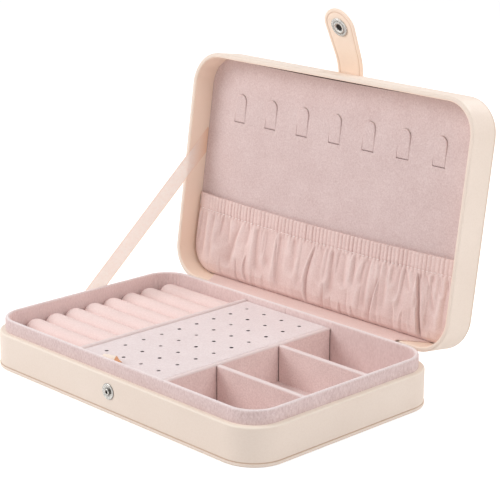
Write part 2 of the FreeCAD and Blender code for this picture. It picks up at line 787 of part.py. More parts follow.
save("snap_stud", snap_stud())
save("snap_rivet", snap_rivet())

# Pieces between base and lid
save("hinge_leather", hinge_leather())
save("hinge_lining", hinge_lining())
save("stay_ribbon", stay_ribbon())

# Lid pieces
lid_leather, lid_board = lid_wall()
save("lid_wall_leather", opened(lid_leather))
save("lid_wall_board", opened(lid_board))
top_leather, top_board = lid_top()
save("lid_top_leather", opened(top_leather))
save("lid_top_board", opened(top_board))
save("lid_foam", opened(lid_foam()))
save("lid_panel", opened(lid_panel()))
for n in range(HOOK_COUNT):
    save("necklace_tab_%d" % (n + 1), opened(necklace_hook(n)))
save("pocket_cloth", opened(pocket_cloth()))
hem, elastic = pocket_hem()
save("pocket_hem", opened(hem))
save("pocket_elastic", opened(elastic))

# Strap pieces
save("strap_anchor", opened(strap_anchor()))
save("strap_flap", opened(strap_flap()))
save("snap_socket", opened(snap_socket()))
save("snap_cap", opened(snap_cap()))
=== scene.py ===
import bmesh
import bpy
import numpy as np
from mathutils import Matrix, Vector


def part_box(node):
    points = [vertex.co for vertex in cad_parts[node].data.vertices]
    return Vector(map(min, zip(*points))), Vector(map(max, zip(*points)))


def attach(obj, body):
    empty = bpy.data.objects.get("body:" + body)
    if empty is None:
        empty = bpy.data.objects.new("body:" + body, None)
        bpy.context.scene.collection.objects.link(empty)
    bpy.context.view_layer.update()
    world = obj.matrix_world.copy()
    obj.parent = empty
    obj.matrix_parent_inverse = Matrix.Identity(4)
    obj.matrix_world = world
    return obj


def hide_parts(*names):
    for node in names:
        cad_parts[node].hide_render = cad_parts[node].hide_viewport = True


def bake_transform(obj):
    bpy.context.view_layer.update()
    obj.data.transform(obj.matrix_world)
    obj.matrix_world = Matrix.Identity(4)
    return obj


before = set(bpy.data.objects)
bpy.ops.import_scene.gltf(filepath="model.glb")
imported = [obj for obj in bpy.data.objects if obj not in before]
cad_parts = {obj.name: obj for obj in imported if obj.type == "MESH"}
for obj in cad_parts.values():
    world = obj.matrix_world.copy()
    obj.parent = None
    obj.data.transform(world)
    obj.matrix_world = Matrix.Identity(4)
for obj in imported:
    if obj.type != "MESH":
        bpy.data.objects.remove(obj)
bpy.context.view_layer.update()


# Base wall and foot
# Folded grey board under cream leatherette: a polyurethane skin on thin cloth, embossed with pebbles. The
# cover turns over the top edge; a second sheet closes the foot and shows as a thin lip.
mm = 0.001
half_width, half_depth, corner_radius = 115 * mm, 73.5 * mm, 21.3 * mm
foot_top, rim_from, rim_full, back_face = 2.3 * mm, 21.1 * mm, 21.9 * mm, 73.55 * mm
noise_range = {"From Min": 0.3, "From Max": 0.7}


def linear(code):
    """sRGB hex to linear RGBA: c / 12.92 up to 0.04045, above it ((c + 0.055) / 1.055) to the power 2.4."""
    c = np.array([int(code[i:i + 2], 16) for i in (1, 3, 5)]) / 255
    return (*np.where(c <= 0.04045, c / 12.92, ((c + 0.055) / 1.055) ** 2.4), 1.0)


def add(tree, kind, sockets=(), out=0, **settings):
    """Adds one shader node and gives its output out, or all for None. A socket takes a link, a colour's code
    or any other value."""
    made = tree.nodes.new("ShaderNode" + kind)
    for name, value in settings.items():
        setattr(made, name, value)
    for name, value in dict(sockets).items():
        if isinstance(value, bpy.types.NodeSocket):
            tree.links.new(value, made.inputs[name])
        else:
            made.inputs[name].default_value = linear(value) if isinstance(value, str) else value
    return made.outputs if out is None else made.outputs[out]


def new_material(name):
    """Empty material, its node tree and the Object coordinates that its patterns read."""
    made = bpy.data.materials.new(name)
    made.use_nodes = True
    made.node_tree.nodes.clear()
    return made, made.node_tree, add(made.node_tree, "TexCoord", out="Object")


def seam_line(at, across):
    """Pattern of a glued seam: 1 in the plane through at with the normal across, 0 from 0.5 mm off it."""
    def pattern(tree, place):
        off = add(tree, "VectorMath", {0: place, 1: tuple(at)}, operation="SUBTRACT")
        off = add(tree, "VectorMath", {0: off, 1: tuple(across)}, "Value", operation="DOT_PRODUCT")
        off = add(tree, "Math", {0: off}, operation="ABSOLUTE")
        return add(tree, "MapRange", {"Value": off, "From Max": 0.5 * mm, "To Min": 1.0, "To Max": 0.0},
                   interpolation_type="SMOOTHSTEP")
    return pattern


def leatherette(name, face, hollow, line, pattern, painted_light="", within=None):
    """Embossed polyurethane leather: satin skin, rounded pebbles with darker hollows, faint cloudiness from
    the roller. A pebble is 0.45 mm across on the real sheet and drawn at 0.9 mm, so that it shows. Where
    pattern goes from 0 to 1, a seam or pressed line is sunk and takes the line colour, on the seams partly as
    painted shade. Where within does, the face takes a lighter colour as painted light."""
    made, tree, place = new_material(name)
    pebble_size, crease_size, cloud_size = 0.9 * mm, 4 * mm, 55 * mm
    pebble = add(tree, "TexVoronoi", {"Vector": place, "Scale": 1 / pebble_size}, feature="SMOOTH_F1")
    crease = add(tree, "TexNoise", {"Vector": place, "Scale": 1 / crease_size, "Detail": 4.0})
    cloud = add(tree, "TexNoise", {"Vector": place, "Scale": 1 / cloud_size, "Detail": 2.0})
    seam = pattern(tree, place)
    tone = add(tree, "MapRange", {**noise_range, "Value": cloud, "To Max": 0.22})
    tone = add(tree, "Math", {0: pebble, 1: 0.22, 2: tone}, operation="MULTIPLY_ADD", use_clamp=True)
    colour = add(tree, "Mix", {0: tone, 6: face, 7: hollow}, 2, data_type="RGBA")
    if within:
        colour = add(tree, "Mix", {0: within(tree, place), 6: colour, 7: painted_light}, 2, data_type="RGBA")
    colour = add(tree, "Mix", {0: seam, 6: colour, 7: line}, 2, data_type="RGBA")
    rough = add(tree, "MapRange", {**noise_range, "Value": crease, "To Min": 0.46, "To Max": 0.6})
    relief = add(tree, "Math", {0: pebble, 1: -0.5, 2: crease}, operation="MULTIPLY_ADD")
    relief = add(tree, "Math", {0: seam, 1: -3.0, 2: relief}, operation="MULTIPLY_ADD")
    bump = add(tree, "Bump", {"Height": relief, "Strength": 0.35, "Distance": 0.12 * mm})
    shader = add(tree, "BsdfPrincipled", {"Base Color": colour, "Roughness": rough, "Normal": bump,
                                          "IOR": 1.5, "Specular IOR Level": 0.3})
    add(tree, "OutputMaterial", {"Surface": shader}, None)
    return made


def dress(material, *names):
    """Gives CAD nodes their material."""
    for name in names:
        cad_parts[name].data.materials.clear()
        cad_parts[name].data.materials.append(material)


def rim_highlight(tree, place):
    """Painted highlight, 0.5 on the folded rim by the point's height, 0 below it or behind the back wall's
    face.
    """
    _, y, z = add(tree, "SeparateXYZ", {0: place}, None)
    high = add(tree, "MapRange", {"Value": z, "From Min": rim_from, "From Max": rim_full, "To Max": 0.5})
    wall = add(tree, "Math", {0: y, 1: back_face}, operation="LESS_THAN")
    return add(tree, "Math", {0: high, 1: wall}, operation="MULTIPLY")


# The folded rim takes a painted highlight. The foot seam's dark line is partly the glued joint and partly
# painted shade in its groove.
foot_seam = seam_line((0, 0, foot_top), (0, 0, 1))
base_leather = leatherette("cream_leatherette_base", "#eedfd3", "#d9c3b3", "#c9ad98", foot_seam,
                           "#fff4e4", rim_highlight)
dress(base_leather, "base_foot_leather", "base_wall_leather")


# Boards inside the walls, the bottom and the lid
# Grey board of pressed waste paper, 1.5 to 2 mm thick, scored and folded into the walls. It is hidden by its
# covers. Fibres and flecks about 0.6 mm long give it a mottled, dull face.
def matt(name, low, high, kind, sockets, out=0, *, rough, gloss, relief, depth, **settings):
    """Dull material of one texture of that kind: it goes from the colour low to the colour high as the
    texture goes from 0 to 1, and stands up by depth times relief."""
    made, tree, place = new_material(name)
    height = add(tree, kind, {"Vector": place, **sockets}, out, **settings)
    colour = add(tree, "Mix", {0: height, 6: low, 7: high}, 2, data_type="RGBA")
    bump = add(tree, "Bump", {"Height": height, "Strength": relief, "Distance": depth})
    shader = add(tree, "BsdfPrincipled", {"Base Color": colour, "Roughness": rough, "Normal": bump,
                                          "Specular IOR Level": gloss})
    add(tree, "OutputMaterial", {"Surface": shader}, None)
    return made


grey_board = matt("pressed_grey_board", "#8d8a85", "#b3afa8", "TexNoise",
                  {"Scale": 1 / (0.6 * mm), "Detail": 3.0}, rough=0.9, gloss=0.2, relief=0.3, depth=0.1 * mm)
dress(grey_board, "base_bottom_board", "base_wall_board", "collar_board", "lid_wall_board", "lid_top_board",
      "board_rest_left", "board_rest_right")


# Collar
# Raised inner frame: a card band in mauve velvet, glued inside the wall. The velvet folds over its top edge,
# puckers inside the corners, and its ends meet in a seam at the back.
collar_foot, collar_top = 2.3 * mm, 30.2 * mm
collar_out, collar_in = 3.5 * mm, 6.0 * mm
pucker_pitch, pucker_depth = 2.4 * mm, 0.3 * mm
seam_x, seam_depth, seam_at, seam_span = -2.1 * mm, 0.4 * mm, 0.5112, 0.009
side_stops = 12
scene = bpy.context.scene


def velvet(name, face, shade, glow, *marks, grain=(1, 1, 1)):
    """Short cut-pile velvet: a dull base whose fibre tips scatter light at grazing angles, so it has sheen and
    little gloss. Tufts are 0.2 mm on the real cloth and drawn at 1 mm, so that they show; brushed patches are
    14 mm wide. Each mark is a colour and the pattern of where it is painted over the pile; the marks given in
    this script are painted light and shade. Grain below 1 draws the tufts out into streaks along that axis."""
    made, tree, place = new_material(name)
    tuft_size, brush_size = 1.0 * mm, 14 * mm
    nap = add(tree, "Mapping", {"Vector": place, "Scale": grain})
    tuft = add(tree, "TexNoise", {"Vector": nap, "Scale": 1 / tuft_size, "Detail": 3.0, "Roughness": 0.7})
    brushed = add(tree, "TexNoise", {"Vector": place, "Scale": 1 / brush_size, "Detail": 2.0})
    speck = add(tree, "MapRange", {**noise_range, "Value": tuft, "To Max": 0.8})
    tone = add(tree, "MapRange", {**noise_range, "Value": brushed, "To Max": 0.2})
    tone = add(tree, "Math", {0: speck, 1: tone}, operation="ADD")
    colour = add(tree, "Mix", {0: tone, 6: face, 7: shade}, 2, data_type="RGBA")
    for mark, pattern in marks:
        colour = add(tree, "Mix", {0: pattern(tree, place), 6: colour, 7: mark}, 2, data_type="RGBA")
    rough = add(tree, "MapRange", {**noise_range, "Value": tuft, "To Min": 0.82, "To Max": 0.96})
    bump = add(tree, "Bump", {"Height": tuft, "Strength": 0.5, "Distance": 0.25 * mm})
    shader = add(tree, "BsdfPrincipled", {
        "Base Color": colour, "Roughness": rough, "Normal": bump, "Specular IOR Level": 0.12,
        "Sheen Weight": glow, "Sheen Roughness": 0.45, "Sheen Tint": "#fff0ee"})
    add(tree, "OutputMaterial", {"Surface": shader}, None)
    return made


def case_line(along, bend):
    """Closed line round the case: a quarter turn about each corner's centre, then a straight run with along
    as its stops. Gives core points, outward normals and curl, 0 on a run and 1 in mid corner. The point at an
    inset is core + normal * (corner radius - inset)."""
    signs = np.array([(1, 1), (-1, 1), (-1, -1), (1, -1)])
    centres = signs * (np.array([half_width, half_depth]) - corner_radius)
    t = np.linspace(0, 1, bend)
    core, angle = [], []
    for q in range(4):
        here, there = centres[q], centres[(q + 1) % 4]
        core += [np.tile(here, (bend, 1)), here + along[:, None] * (there - here)]
        angle += [(q + t) * np.pi / 2, np.full(len(along), (q + 1) * np.pi / 2)]
    angle = np.concatenate(angle)
    curl = np.clip(2.5 * np.sin(2 * angle) ** 2, 0, 1)
    return np.concatenate(core), np.c_[np.cos(angle), np.sin(angle)], curl


def quads_of(n, m, loop_u, loop_v):
    """Point numbers of the quads between neighbours on an n by m grid, closed in a direction that loops."""
    at = np.arange(n * m).reshape(n, m)
    at = np.concatenate([at, at[:1]]) if loop_u else at
    at = np.concatenate([at, at[:, :1]], axis=1) if loop_v else at
    return np.stack([at[:-1, :-1], at[1:, :-1], at[1:, 1:], at[:-1, 1:]], axis=-1).reshape(-1, 4)


def linked(name, data):
    """New object of that data, linked into the scene."""
    made = bpy.data.objects.new(name, data)
    scene.collection.objects.link(made)
    return made


def placed(name, mesh, material):
    """Object of a finished mesh: smooth faces in one material."""
    mesh.polygons.foreach_set("use_smooth", np.ones(len(mesh.polygons), bool))
    mesh.materials.append(material)
    return linked(name, mesh)


def skin(name, grid, material, loop_u=False, loop_v=False, **attributes):
    """Mesh on an (n, m, 3) grid of points, with points that fall together welded. A closed shell with a
    negative volume is turned so that its faces point outwards. Attributes hold a value for each point."""
    n, m = grid.shape[:2]
    quads = quads_of(n, m, loop_u, loop_v)
    a, b, c, d = (grid.reshape(-1, 3)[quads[:, k]] for k in range(4))
    if loop_v and (np.cross(b - a, c - a) * a + np.cross(c - a, d - a) * a).sum() < 0:
        quads = quads[:, ::-1]
    mesh = bpy.data.meshes.new(name)
    mesh.from_pydata(grid.reshape(-1, 3).tolist(), [], quads.tolist())
    for key, values in attributes.items():
        layer = mesh.attributes.new(key, "FLOAT", "POINT")
        layer.data.foreach_set("value", np.broadcast_to(values, (n, m)).ravel().astype(np.float32))
    welded = bmesh.new()
    welded.from_mesh(mesh)
    bmesh.ops.remove_doubles(welded, verts=welded.verts, dist=1e-7)
    welded.to_mesh(mesh)
    welded.free()
    return placed(name, mesh, material)


def on_marks(strength, name="mark"):
    """Pattern of a mesh attribute, which says how strong the mark is at each point, times strength."""
    def pattern(tree, place):
        mark = add(tree, "Attribute", out="Fac", attribute_name=name)
        return add(tree, "Math", {0: mark, 1: strength}, operation="MULTIPLY")
    return pattern


# Inside, the pile is painted lighter and pinker as painted light; over the rim a painted highlight shows
# sheen.
collar_velvet = velvet("mauve_velvet_collar", "#ead6d4", "#cbb0ad", 0.25, ("#ffe8e4", on_marks(0.36)),
                       ("#fff8f8", on_marks(0.62, "crest")), grain=(1, 1, 0.55))
stops = np.sort(np.r_[np.linspace(0, 1, 42)[1:-1], seam_at + np.linspace(-seam_span, seam_span, 17)])
core, normal, curl = case_line(stops, 90)
rise, turn = np.linspace(0, 1, side_stops), np.linspace(0, np.pi, 15)[1:-1]
edge = (collar_in - collar_out) / 2
shoulder = collar_top - edge
inset = np.r_[np.full(side_stops, collar_out), collar_out + edge - edge * np.cos(turn),
              np.full(side_stops, collar_in)]
level = np.r_[collar_foot + rise * (shoulder - collar_foot), shoulder + edge * np.sin(turn),
              shoulder - rise * (shoulder - collar_foot)]
inner = np.r_[np.zeros(side_stops), np.sin(turn / 2) ** 4, np.ones(side_stops)]
lip = np.r_[np.zeros(side_stops), np.sin(turn) ** 2, np.zeros(side_stops)]
way = np.cumsum(np.r_[0, np.hypot(*np.diff(core + normal * (corner_radius - collar_in), axis=0).T)])
wave = 0.5 + 0.5 * np.sin(2 * np.pi * way / pucker_pitch + 1.3 * np.sin(way / (3.1 * mm)))
at_seam = np.exp(-((core[:, 0] - seam_x) / (0.45 * mm)) ** 2) * (normal[:, 1] > 0.99)
relief = pucker_depth * (curl * wave)[:, None] * inner - seam_depth * at_seam[:, None] * inner
reach = corner_radius - inset - relief
plan = core[:, None] + normal[:, None] * reach[:, :, None]
collar = skin("collar_cover", np.dstack([plan, np.broadcast_to(level, reach.shape)]), collar_velvet,
              True, True, mark=inner, crest=lip)
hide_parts("collar_velvet")
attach(collar, "base")


# Floor, partitions and cell dividers
# Cards wrapped in the same mauve velvet, painted lighter here as painted light inside the cells, with a
# painted highlight over their top edges. The floor card and both partitions are glued in; the two dividers
# between the cells stand loose and lift out.
divider_left, partition_rear, gap_shade_mid, gap_shade_half = 35.8 * mm, 67.2 * mm, 0.2 * mm, 0.22 * mm
edge_from, edge_full, upright_mid, upright_half = 24.9 * mm, 25.6 * mm, 14.8 * mm, 10.6 * mm


def top_edge_highlight(tree, place):
    """Painted highlight, by the point's height: 0 below the top edges and 1 on them."""
    height = add(tree, "SeparateXYZ", {0: place}, "Z")
    return add(tree, "MapRange", {"Value": height, "From Min": edge_from, "From Max": edge_full})


def end_gap_shade(tree, place):
    """Painted shade: 1 at the dividers' left ends and the partitions' rear ends, in the narrow gaps where
    shade falls."""
    x, y, z = add(tree, "SeparateXYZ", {0: place}, None)
    ends = [add(tree, "Math", {0: a, 1: middle, 2: gap_shade_half}, operation="COMPARE")
            for a, middle in ((x, divider_left + gap_shade_mid), (y, partition_rear - gap_shade_mid))]
    end = add(tree, "Math", {0: ends[0], 1: ends[1]}, operation="MAXIMUM")
    upright = add(tree, "Math", {0: z, 1: upright_mid, 2: upright_half}, operation="COMPARE")
    return add(tree, "Math", {0: end, 1: upright}, operation="MULTIPLY")


# Painted light: this copy of the mauve velvet is lighter than the collar's. The top edges take a painted
# highlight and the end gaps a painted shade.
lightened_inside_velvet = velvet("mauve_velvet_lightened_inside", "#f6e1dd", "#dcc3bf", 0.25,
                       ("#eddddb", top_edge_highlight), ("#7a5d57", end_gap_shade))
dress(lightened_inside_velvet, "floor_lining", "roll_partition", "tray_partition",
      "cell_divider_front", "cell_divider_rear")


# Ring rolls and their foam bed
# Nine tubes of pale pink velvet, sewn closed at the free end, stuffed with wadding and glued on a foam block.
# A cloth simulation pumps each up from a slack tube held at its glued foot and its right end.
roll_pitch, roll_radius, roll_axis, roll_foot = 15 * mm, 7.425 * mm, 16.775 * mm, 10.15 * mm
roll_left, roll_right, corner_cut = -108.7 * mm, -38.4 * mm, 2.5 * mm
corner_at, corner_round = 52.2 * mm, 15 * mm
roll_count, roll_half, slack, most_swell = 9, 7.46 * mm, 0.95, 0.6 * mm
sim_scale, sim_frames, sim_push = 40.0, 20, 4.0

foam = matt("polyether_foam", "#efe9dc", "#cfc6b4", "TexVoronoi", {"Scale": 1 / (0.8 * mm)},
            rough=0.95, gloss=0.1, relief=0.6, depth=0.3 * mm)
dress(foam, "roll_bed", "lid_foam")


def roll_tube(index, size):
    """Roll along x: a ball end of 6.4 mm radius drawn in to a point, a straight tube, a rounded seat. Angle
    runs round the tube and the underside is flat at the glued foot; size scales the radius."""
    left = roll_left + corner_cut * (index in (0, roll_count - 1))
    ball, seat = 6.4 * mm, 1.5 * mm
    t, s, k = np.linspace(0, np.pi / 2, 12), np.linspace(0, 1, 42), np.linspace(0, np.pi / 2, 4)
    x = np.r_[left + ball * (1 - np.cos(t)), left + ball + s[1:] * (roll_right - seat - left - ball),
              roll_right - seat + seat * np.sin(k[1:]), roll_right, roll_right]
    r = np.r_[(roll_radius - ball) * np.linspace(0, 1, len(t)) ** 0.5 + ball * np.sin(t),
              np.full(len(s) - 1, roll_radius), roll_radius - seat + seat * np.cos(k[1:]),
              roll_radius * 0.45, 0.0] * size
    a = np.linspace(0, 2 * np.pi, 44, endpoint=False)
    y = (index - roll_count // 2) * roll_pitch + r[:, None] * np.sin(a)
    z = np.maximum(roll_axis + r[:, None] * np.cos(a), roll_foot)
    return np.dstack([np.broadcast_to(x[:, None], y.shape), y, z])


def stuffed(grids):
    """Cloth simulation of all tubes at once: copies at a larger scale, pinned at the foot and the seat,
    pressed from inside with no gravity. Returns where the points end, at true scale."""
    n, m = grids[0].shape[:2]
    quads = quads_of(n, m, False, True)
    points = np.concatenate([g.reshape(-1, 3) for g in grids])
    faces = np.concatenate([quads + k * n * m for k in range(len(grids))])
    mesh = bpy.data.meshes.new("slack_tubes")
    mesh.from_pydata((points * sim_scale).tolist(), [], faces.tolist())
    tubes = linked("slack_tubes", mesh)
    held = (points[:, 2] < roll_foot + 0.01 * mm) | (points[:, 0] > roll_right - 1.6 * mm)
    tubes.vertex_groups.new(name="sewn").add(np.flatnonzero(held).tolist(), 1.0, "REPLACE")
    cloth = tubes.modifiers.new("wadding", "CLOTH")
    cloth.settings.use_pressure = True
    cloth.settings.uniform_pressure_force = sim_push
    cloth.settings.vertex_group_mass = "sewn"
    cloth.settings.effector_weights.gravity = 0.0
    cloth.point_cache.frame_end = sim_frames
    for step in range(1, sim_frames + 1):
        scene.frame_set(step)
    ended = np.empty(len(points) * 3, np.float32)
    tubes.evaluated_get(bpy.context.evaluated_depsgraph_get()).data.vertices.foreach_get("co", ended)
    scene.frame_set(1)
    bpy.data.objects.remove(tubes)
    return ended.reshape(len(grids), n, m, 3) / sim_scale


roll_velvet = velvet("pale_pink_velvet", "#f7e2de", "#eed5d0", 0.2)
tubes = [roll_tube(k, slack) for k in range(roll_count)]
ended = stuffed(tubes)
for k in range(roll_count):
    move = ended[k] - tubes[k]
    size = np.linalg.norm(move, axis=2, keepdims=True)
    grid = tubes[k] + move * np.minimum(1, most_swell / np.maximum(size, 1e-9))
    mid, edge = (k - roll_count // 2) * roll_pitch, corner_at + corner_round
    grid[..., 1] = np.clip(grid[..., 1], max(mid - roll_half, -edge), min(mid + roll_half, edge))
    aside = np.clip((np.abs(grid[..., 1]) - corner_at) / corner_round, 0, 1)
    wall = roll_left + corner_round * (1 - np.sqrt(1 - aside ** 2))
    grid[..., 0] = np.clip(grid[..., 0], wall, roll_right)
    roll = skin("ring_roll_%d_stuffed" % (k + 1), grid, roll_velvet, False, True)
    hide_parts("ring_roll_%d" % (k + 1))
    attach(roll, "base")


# Earring board
# A 3 mm card covered in a paler velvet and punched with four rows of nine holes. It lies on two strips
# between the partitions and lifts out by its tab.
hole_first, hole_pitch = (-23.8 * mm, -54.7 * mm, 0), np.array([14.933, 13.8125, 1]) * mm
hole_edge, hole_rim = 1.08 * mm, 1.28 * mm


def punched(tree, place):
    """By the distance from the nearest hole's middle: up to 1 in a hole, as painted shade, falling to 0 over
    its rim.
    The pile closes some holes more than others, by chance."""
    at = add(tree, "VectorMath", {0: place, 1: hole_first}, operation="SUBTRACT")
    at = add(tree, "VectorMath", {0: at, 1: (1, 1, 0) / hole_pitch}, operation="MULTIPLY")
    hole = add(tree, "VectorMath", {0: at, 1: (0.5, 0.5, 0)}, operation="ADD")
    hole = add(tree, "VectorMath", {0: hole}, operation="FLOOR")
    gap = add(tree, "VectorMath", {0: at, 1: hole}, operation="SUBTRACT")
    gap = add(tree, "VectorMath", {0: gap, 1: hole_pitch}, operation="MULTIPLY")
    gap = add(tree, "VectorMath", {0: gap}, "Value", operation="LENGTH")
    within = add(tree, "MapRange", {"Value": gap, "From Min": hole_edge, "From Max": hole_rim,
                                    "To Min": 1.0, "To Max": 0.0}, interpolation_type="SMOOTHSTEP")
    chance = add(tree, "TexWhiteNoise", {"Vector": hole})
    chance = add(tree, "MapRange", {"Value": chance, "To Min": 0.2})
    return add(tree, "Math", {0: within, 1: chance}, operation="MULTIPLY")


# The holes are painted dark, as painted shade inside them.
pale_velvet = velvet("pale_velvet", "#f5eaea", "#e5d6d6", 0.3, ("#33262a", punched))
dress(pale_velvet, "earring_board")


# Pull tab
# A short cream satin ribbon, folded over on itself and glued over the board's front edge as a small tent, a
# little higher at its right end. Its ends are painted apricot, as painted light standing in for the glow
# inside the folded loop.
tab_left, tab_right, board_top, tab_tall = -13.7 * mm, -3.1 * mm, 26.5 * mm, 3.7


def satin(name, face, shade, along, through, end, pattern):
    """Satin ribbon: long floats along its length give a soft stripe of gloss. Threads are 0.1 mm on the real
    ribbon and drawn 0.6 mm wide and eight times as long, so that they show; along is their direction. Through
    is the share of light that passes, or its pattern; in the other pattern the ribbon takes the end colour."""
    made, tree, place = new_material(name)
    stretch = tuple(1.0 - 0.88 * np.abs(np.array(along, float)))
    place = add(tree, "Mapping", {"Vector": place, "Scale": stretch})
    thread_wide = 0.6 * mm
    thread = add(tree, "TexNoise", {"Vector": place, "Scale": 1 / thread_wide, "Detail": 2.0})
    colour = add(tree, "Mix", {0: thread, 6: face, 7: shade}, 2, data_type="RGBA")
    colour = add(tree, "Mix", {0: pattern(tree, place), 6: colour, 7: end}, 2, data_type="RGBA")
    rough = add(tree, "MapRange", {"Value": thread, "To Min": 0.42, "To Max": 0.62})
    bump = add(tree, "Bump", {"Height": thread, "Strength": 0.25, "Distance": 0.08 * mm})
    top = add(tree, "BsdfPrincipled", {"Base Color": colour, "Roughness": rough, "Normal": bump,
                                       "Specular IOR Level": 0.3, "Sheen Weight": 0.1})
    under = add(tree, "BsdfTranslucent", {"Color": colour, "Normal": bump})
    share = through(tree, place) if callable(through) else through
    cloth = add(tree, "MixShader", {0: share, 1: top, 2: under})
    add(tree, "OutputMaterial", {"Surface": cloth}, None)
    return made


def bent(points, count):
    """Quadratic Bezier curve between the outer points, pulled by the middle one, without its last point."""
    t = np.linspace(0, 1, count, endpoint=False)[:, None]
    a, b, c = np.array(points) * mm
    return (1 - t) ** 2 * a + 2 * t * (1 - t) * b + t ** 2 * c


section = np.concatenate([
    bent([(-66.75, 23.5), (-66.75, 25.2), (-66.75, 26.8)], 6),
    bent([(-66.75, 26.8), (-66.6, 29.3), (-65.0, 30.2)], 16),
    bent([(-65.0, 30.2), (-64.3, 30.4), (-63.7, 29.6)], 8),
    bent([(-63.7, 29.6), (-62.3, 27.3), (-60.5, 26.6)], 14),
    bent([(-60.5, 26.5), (-63.4, 26.5), (-66.2, 26.5)], 8),
    bent([(-66.2, 26.5), (-66.2, 25.0), (-66.2, 23.5)], 6)])
across = np.r_[np.zeros(4), np.linspace(0, 1, 22), np.ones(4)]
shrink = np.r_[0, 0.5, 0.85, 0.96, np.ones(22), 0.96, 0.85, 0.5, 0]
heart = np.array([-64.7, 27.4]) * mm
yz = heart + shrink[:, None, None] * (section - heart)
lean = 1.3 * across - 0.5
yz[..., 1] += lean[:, None] * np.clip(yz[..., 1] - board_top, 0, None) / tab_tall
x = tab_left + across * (tab_right - tab_left) + 0.4 * mm * (1 - shrink ** 2) * np.sign(across - 0.5)
tab = np.dstack([np.broadcast_to(x[:, None], yz.shape[:2]), yz])
# The end colour is painted light: the apricot glow inside the loop.
cream_satin = satin("cream_satin_ribbon", "#fdf3e8", "#f7e2cf", (0, 0, 0), 0.05, "#f6b98c", on_marks(1.0))
pull_tab = skin("pull_tab_ribbon", tab, cream_satin, False, True, mark=(shrink < 1)[:, None])
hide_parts("board_pull_tab")
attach(pull_tab, "earring_tray")


# Press stud and rivet on the front wall
# Nickel-plated brass, pressed: a dished plate with a rolled rim and a rounded hollow post, dulled by
# handling. Its rivet goes through the wall and is headed behind it.
def middle_of(name):
    """Middle of a node's box, which is the middle of a disc however it is turned."""
    low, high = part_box(name)
    return (np.array(low) + np.array(high)) / 2


def turned(name, profile, centre, axis, material, petals=0.0):
    """Surface of revolution: each (radius, height) in mm of the closed profile goes once round the axis, with
    height along it. A third value says how dark a groove is, partly grime and partly painted shade and
    reflection; where a fourth is 1, petals widen and narrow the radius eight times a turn."""
    profile = np.array([tuple(p) + (0,) * (4 - len(p)) for p in profile])
    axis = np.array(axis, float) / np.linalg.norm(axis)
    side = np.array([1.0, 0, 0])
    up = np.cross(axis, side)
    a = np.linspace(0, 2 * np.pi, 96, endpoint=False)
    r = profile[:, :1] * mm * (1 + petals * profile[:, 3:4] * np.cos(8 * a))
    ring = np.cos(a)[:, None] * side + np.sin(a)[:, None] * up
    grid = np.array(centre) + r[:, :, None] * ring + (profile[:, 1] * mm)[:, None, None] * axis
    piece = skin(name, grid, material, False, True, mark=profile[:, 2:3])
    round_off = piece.modifiers.new("polish", "SUBSURF")
    round_off.levels = round_off.render_levels = 1
    return piece


nickel, tree, place = new_material("nickel_plated_brass")
scratch = add(tree, "TexNoise", {"Vector": place, "Scale": 1 / (0.5 * mm), "Detail": 4.0})
# Grooves and hollows darken, partly with grime and partly as painted shade and dark reflection, most in the
# post's hollow and the socket's hole.
groove = on_marks(1.0)(tree, place)
dull = add(tree, "MapRange", {"Value": scratch, "From Min": 0.38, "From Max": 0.62})
colour = add(tree, "Mix", {0: dull, 6: "#d8d6d2", 7: "#a09d98"}, 2, data_type="RGBA")
colour = add(tree, "Mix", {0: groove, 6: colour, 7: "#2a2725"}, 2, data_type="RGBA")
rough = add(tree, "MapRange", {"Value": scratch, "To Min": 0.18, "To Max": 0.38})
shader = add(tree, "BsdfPrincipled", {"Base Color": colour, "Roughness": rough, "Metallic": 1.0})
add(tree, "OutputMaterial", {"Surface": shader}, None)
dress(nickel, "snap_rivet")

stud_profile = [(0, 0.5, 1.0), (0.85, 0.5, 1.0), (1.0, 1.0, 0.9), (1.1, 1.45, 0.2),
                (1.35, 1.55), (1.65, 1.42), (1.85, 1.15), (1.75, 0.85, 0.3), (1.5, 0.6, 0.8),
                (1.7, 0.42, 0.8), (2.3, 0.36, 0.5), (2.9, 0.4, 0.15), (3.5, 0.62), (4.1, 0.72),
                (4.5, 0.62, 0.1), (4.75, 0.36, 0.6), (4.8, 0.0, 0.8), (0, 0.0)]
stud_centre = middle_of("snap_stud")
stud_centre[1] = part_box("snap_stud")[1].y
stud = turned("press_stud", stud_profile, stud_centre, (0, -1, 0), nickel)
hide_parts("snap_stud")
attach(stud, "base")


# Lid shell
# Made as the base is: grey board under cream leatherette that turns round the rim to the inside, closed by a
# covered top plate whose seam runs round just below the edge.
hinge_y, hinge_z, open_angle = 76 * mm, 22.3 * mm, np.radians(98.2)
rim_turn, wall_inside, plate_under, plate_edge = 1.9 * mm, 2.8 * mm, 41 * mm, 41.7 * mm


def opened(points):
    """Points of the closed lid turned open about the hinge line along x."""
    x, y, z = np.moveaxis(np.asarray(points, float), -1, 0)
    y, z = y - hinge_y, z - hinge_z
    c, s = np.cos(open_angle), np.sin(open_angle)
    return np.stack([x, hinge_y + y * c + z * s, hinge_z - y * s + z * c], axis=-1)


def shut(tree, place):
    """The point turned back about the hinge line to where it lies with the lid closed."""
    c, s = np.cos(open_angle), np.sin(open_angle)
    shift = np.array([hinge_y, hinge_z]) @ (np.eye(2) - [[c, s], [-s, c]])
    back = {"Vector": place, "Location": (0, *shift), "Rotation": (open_angle, 0, 0)}
    return add(tree, "Mapping", back)


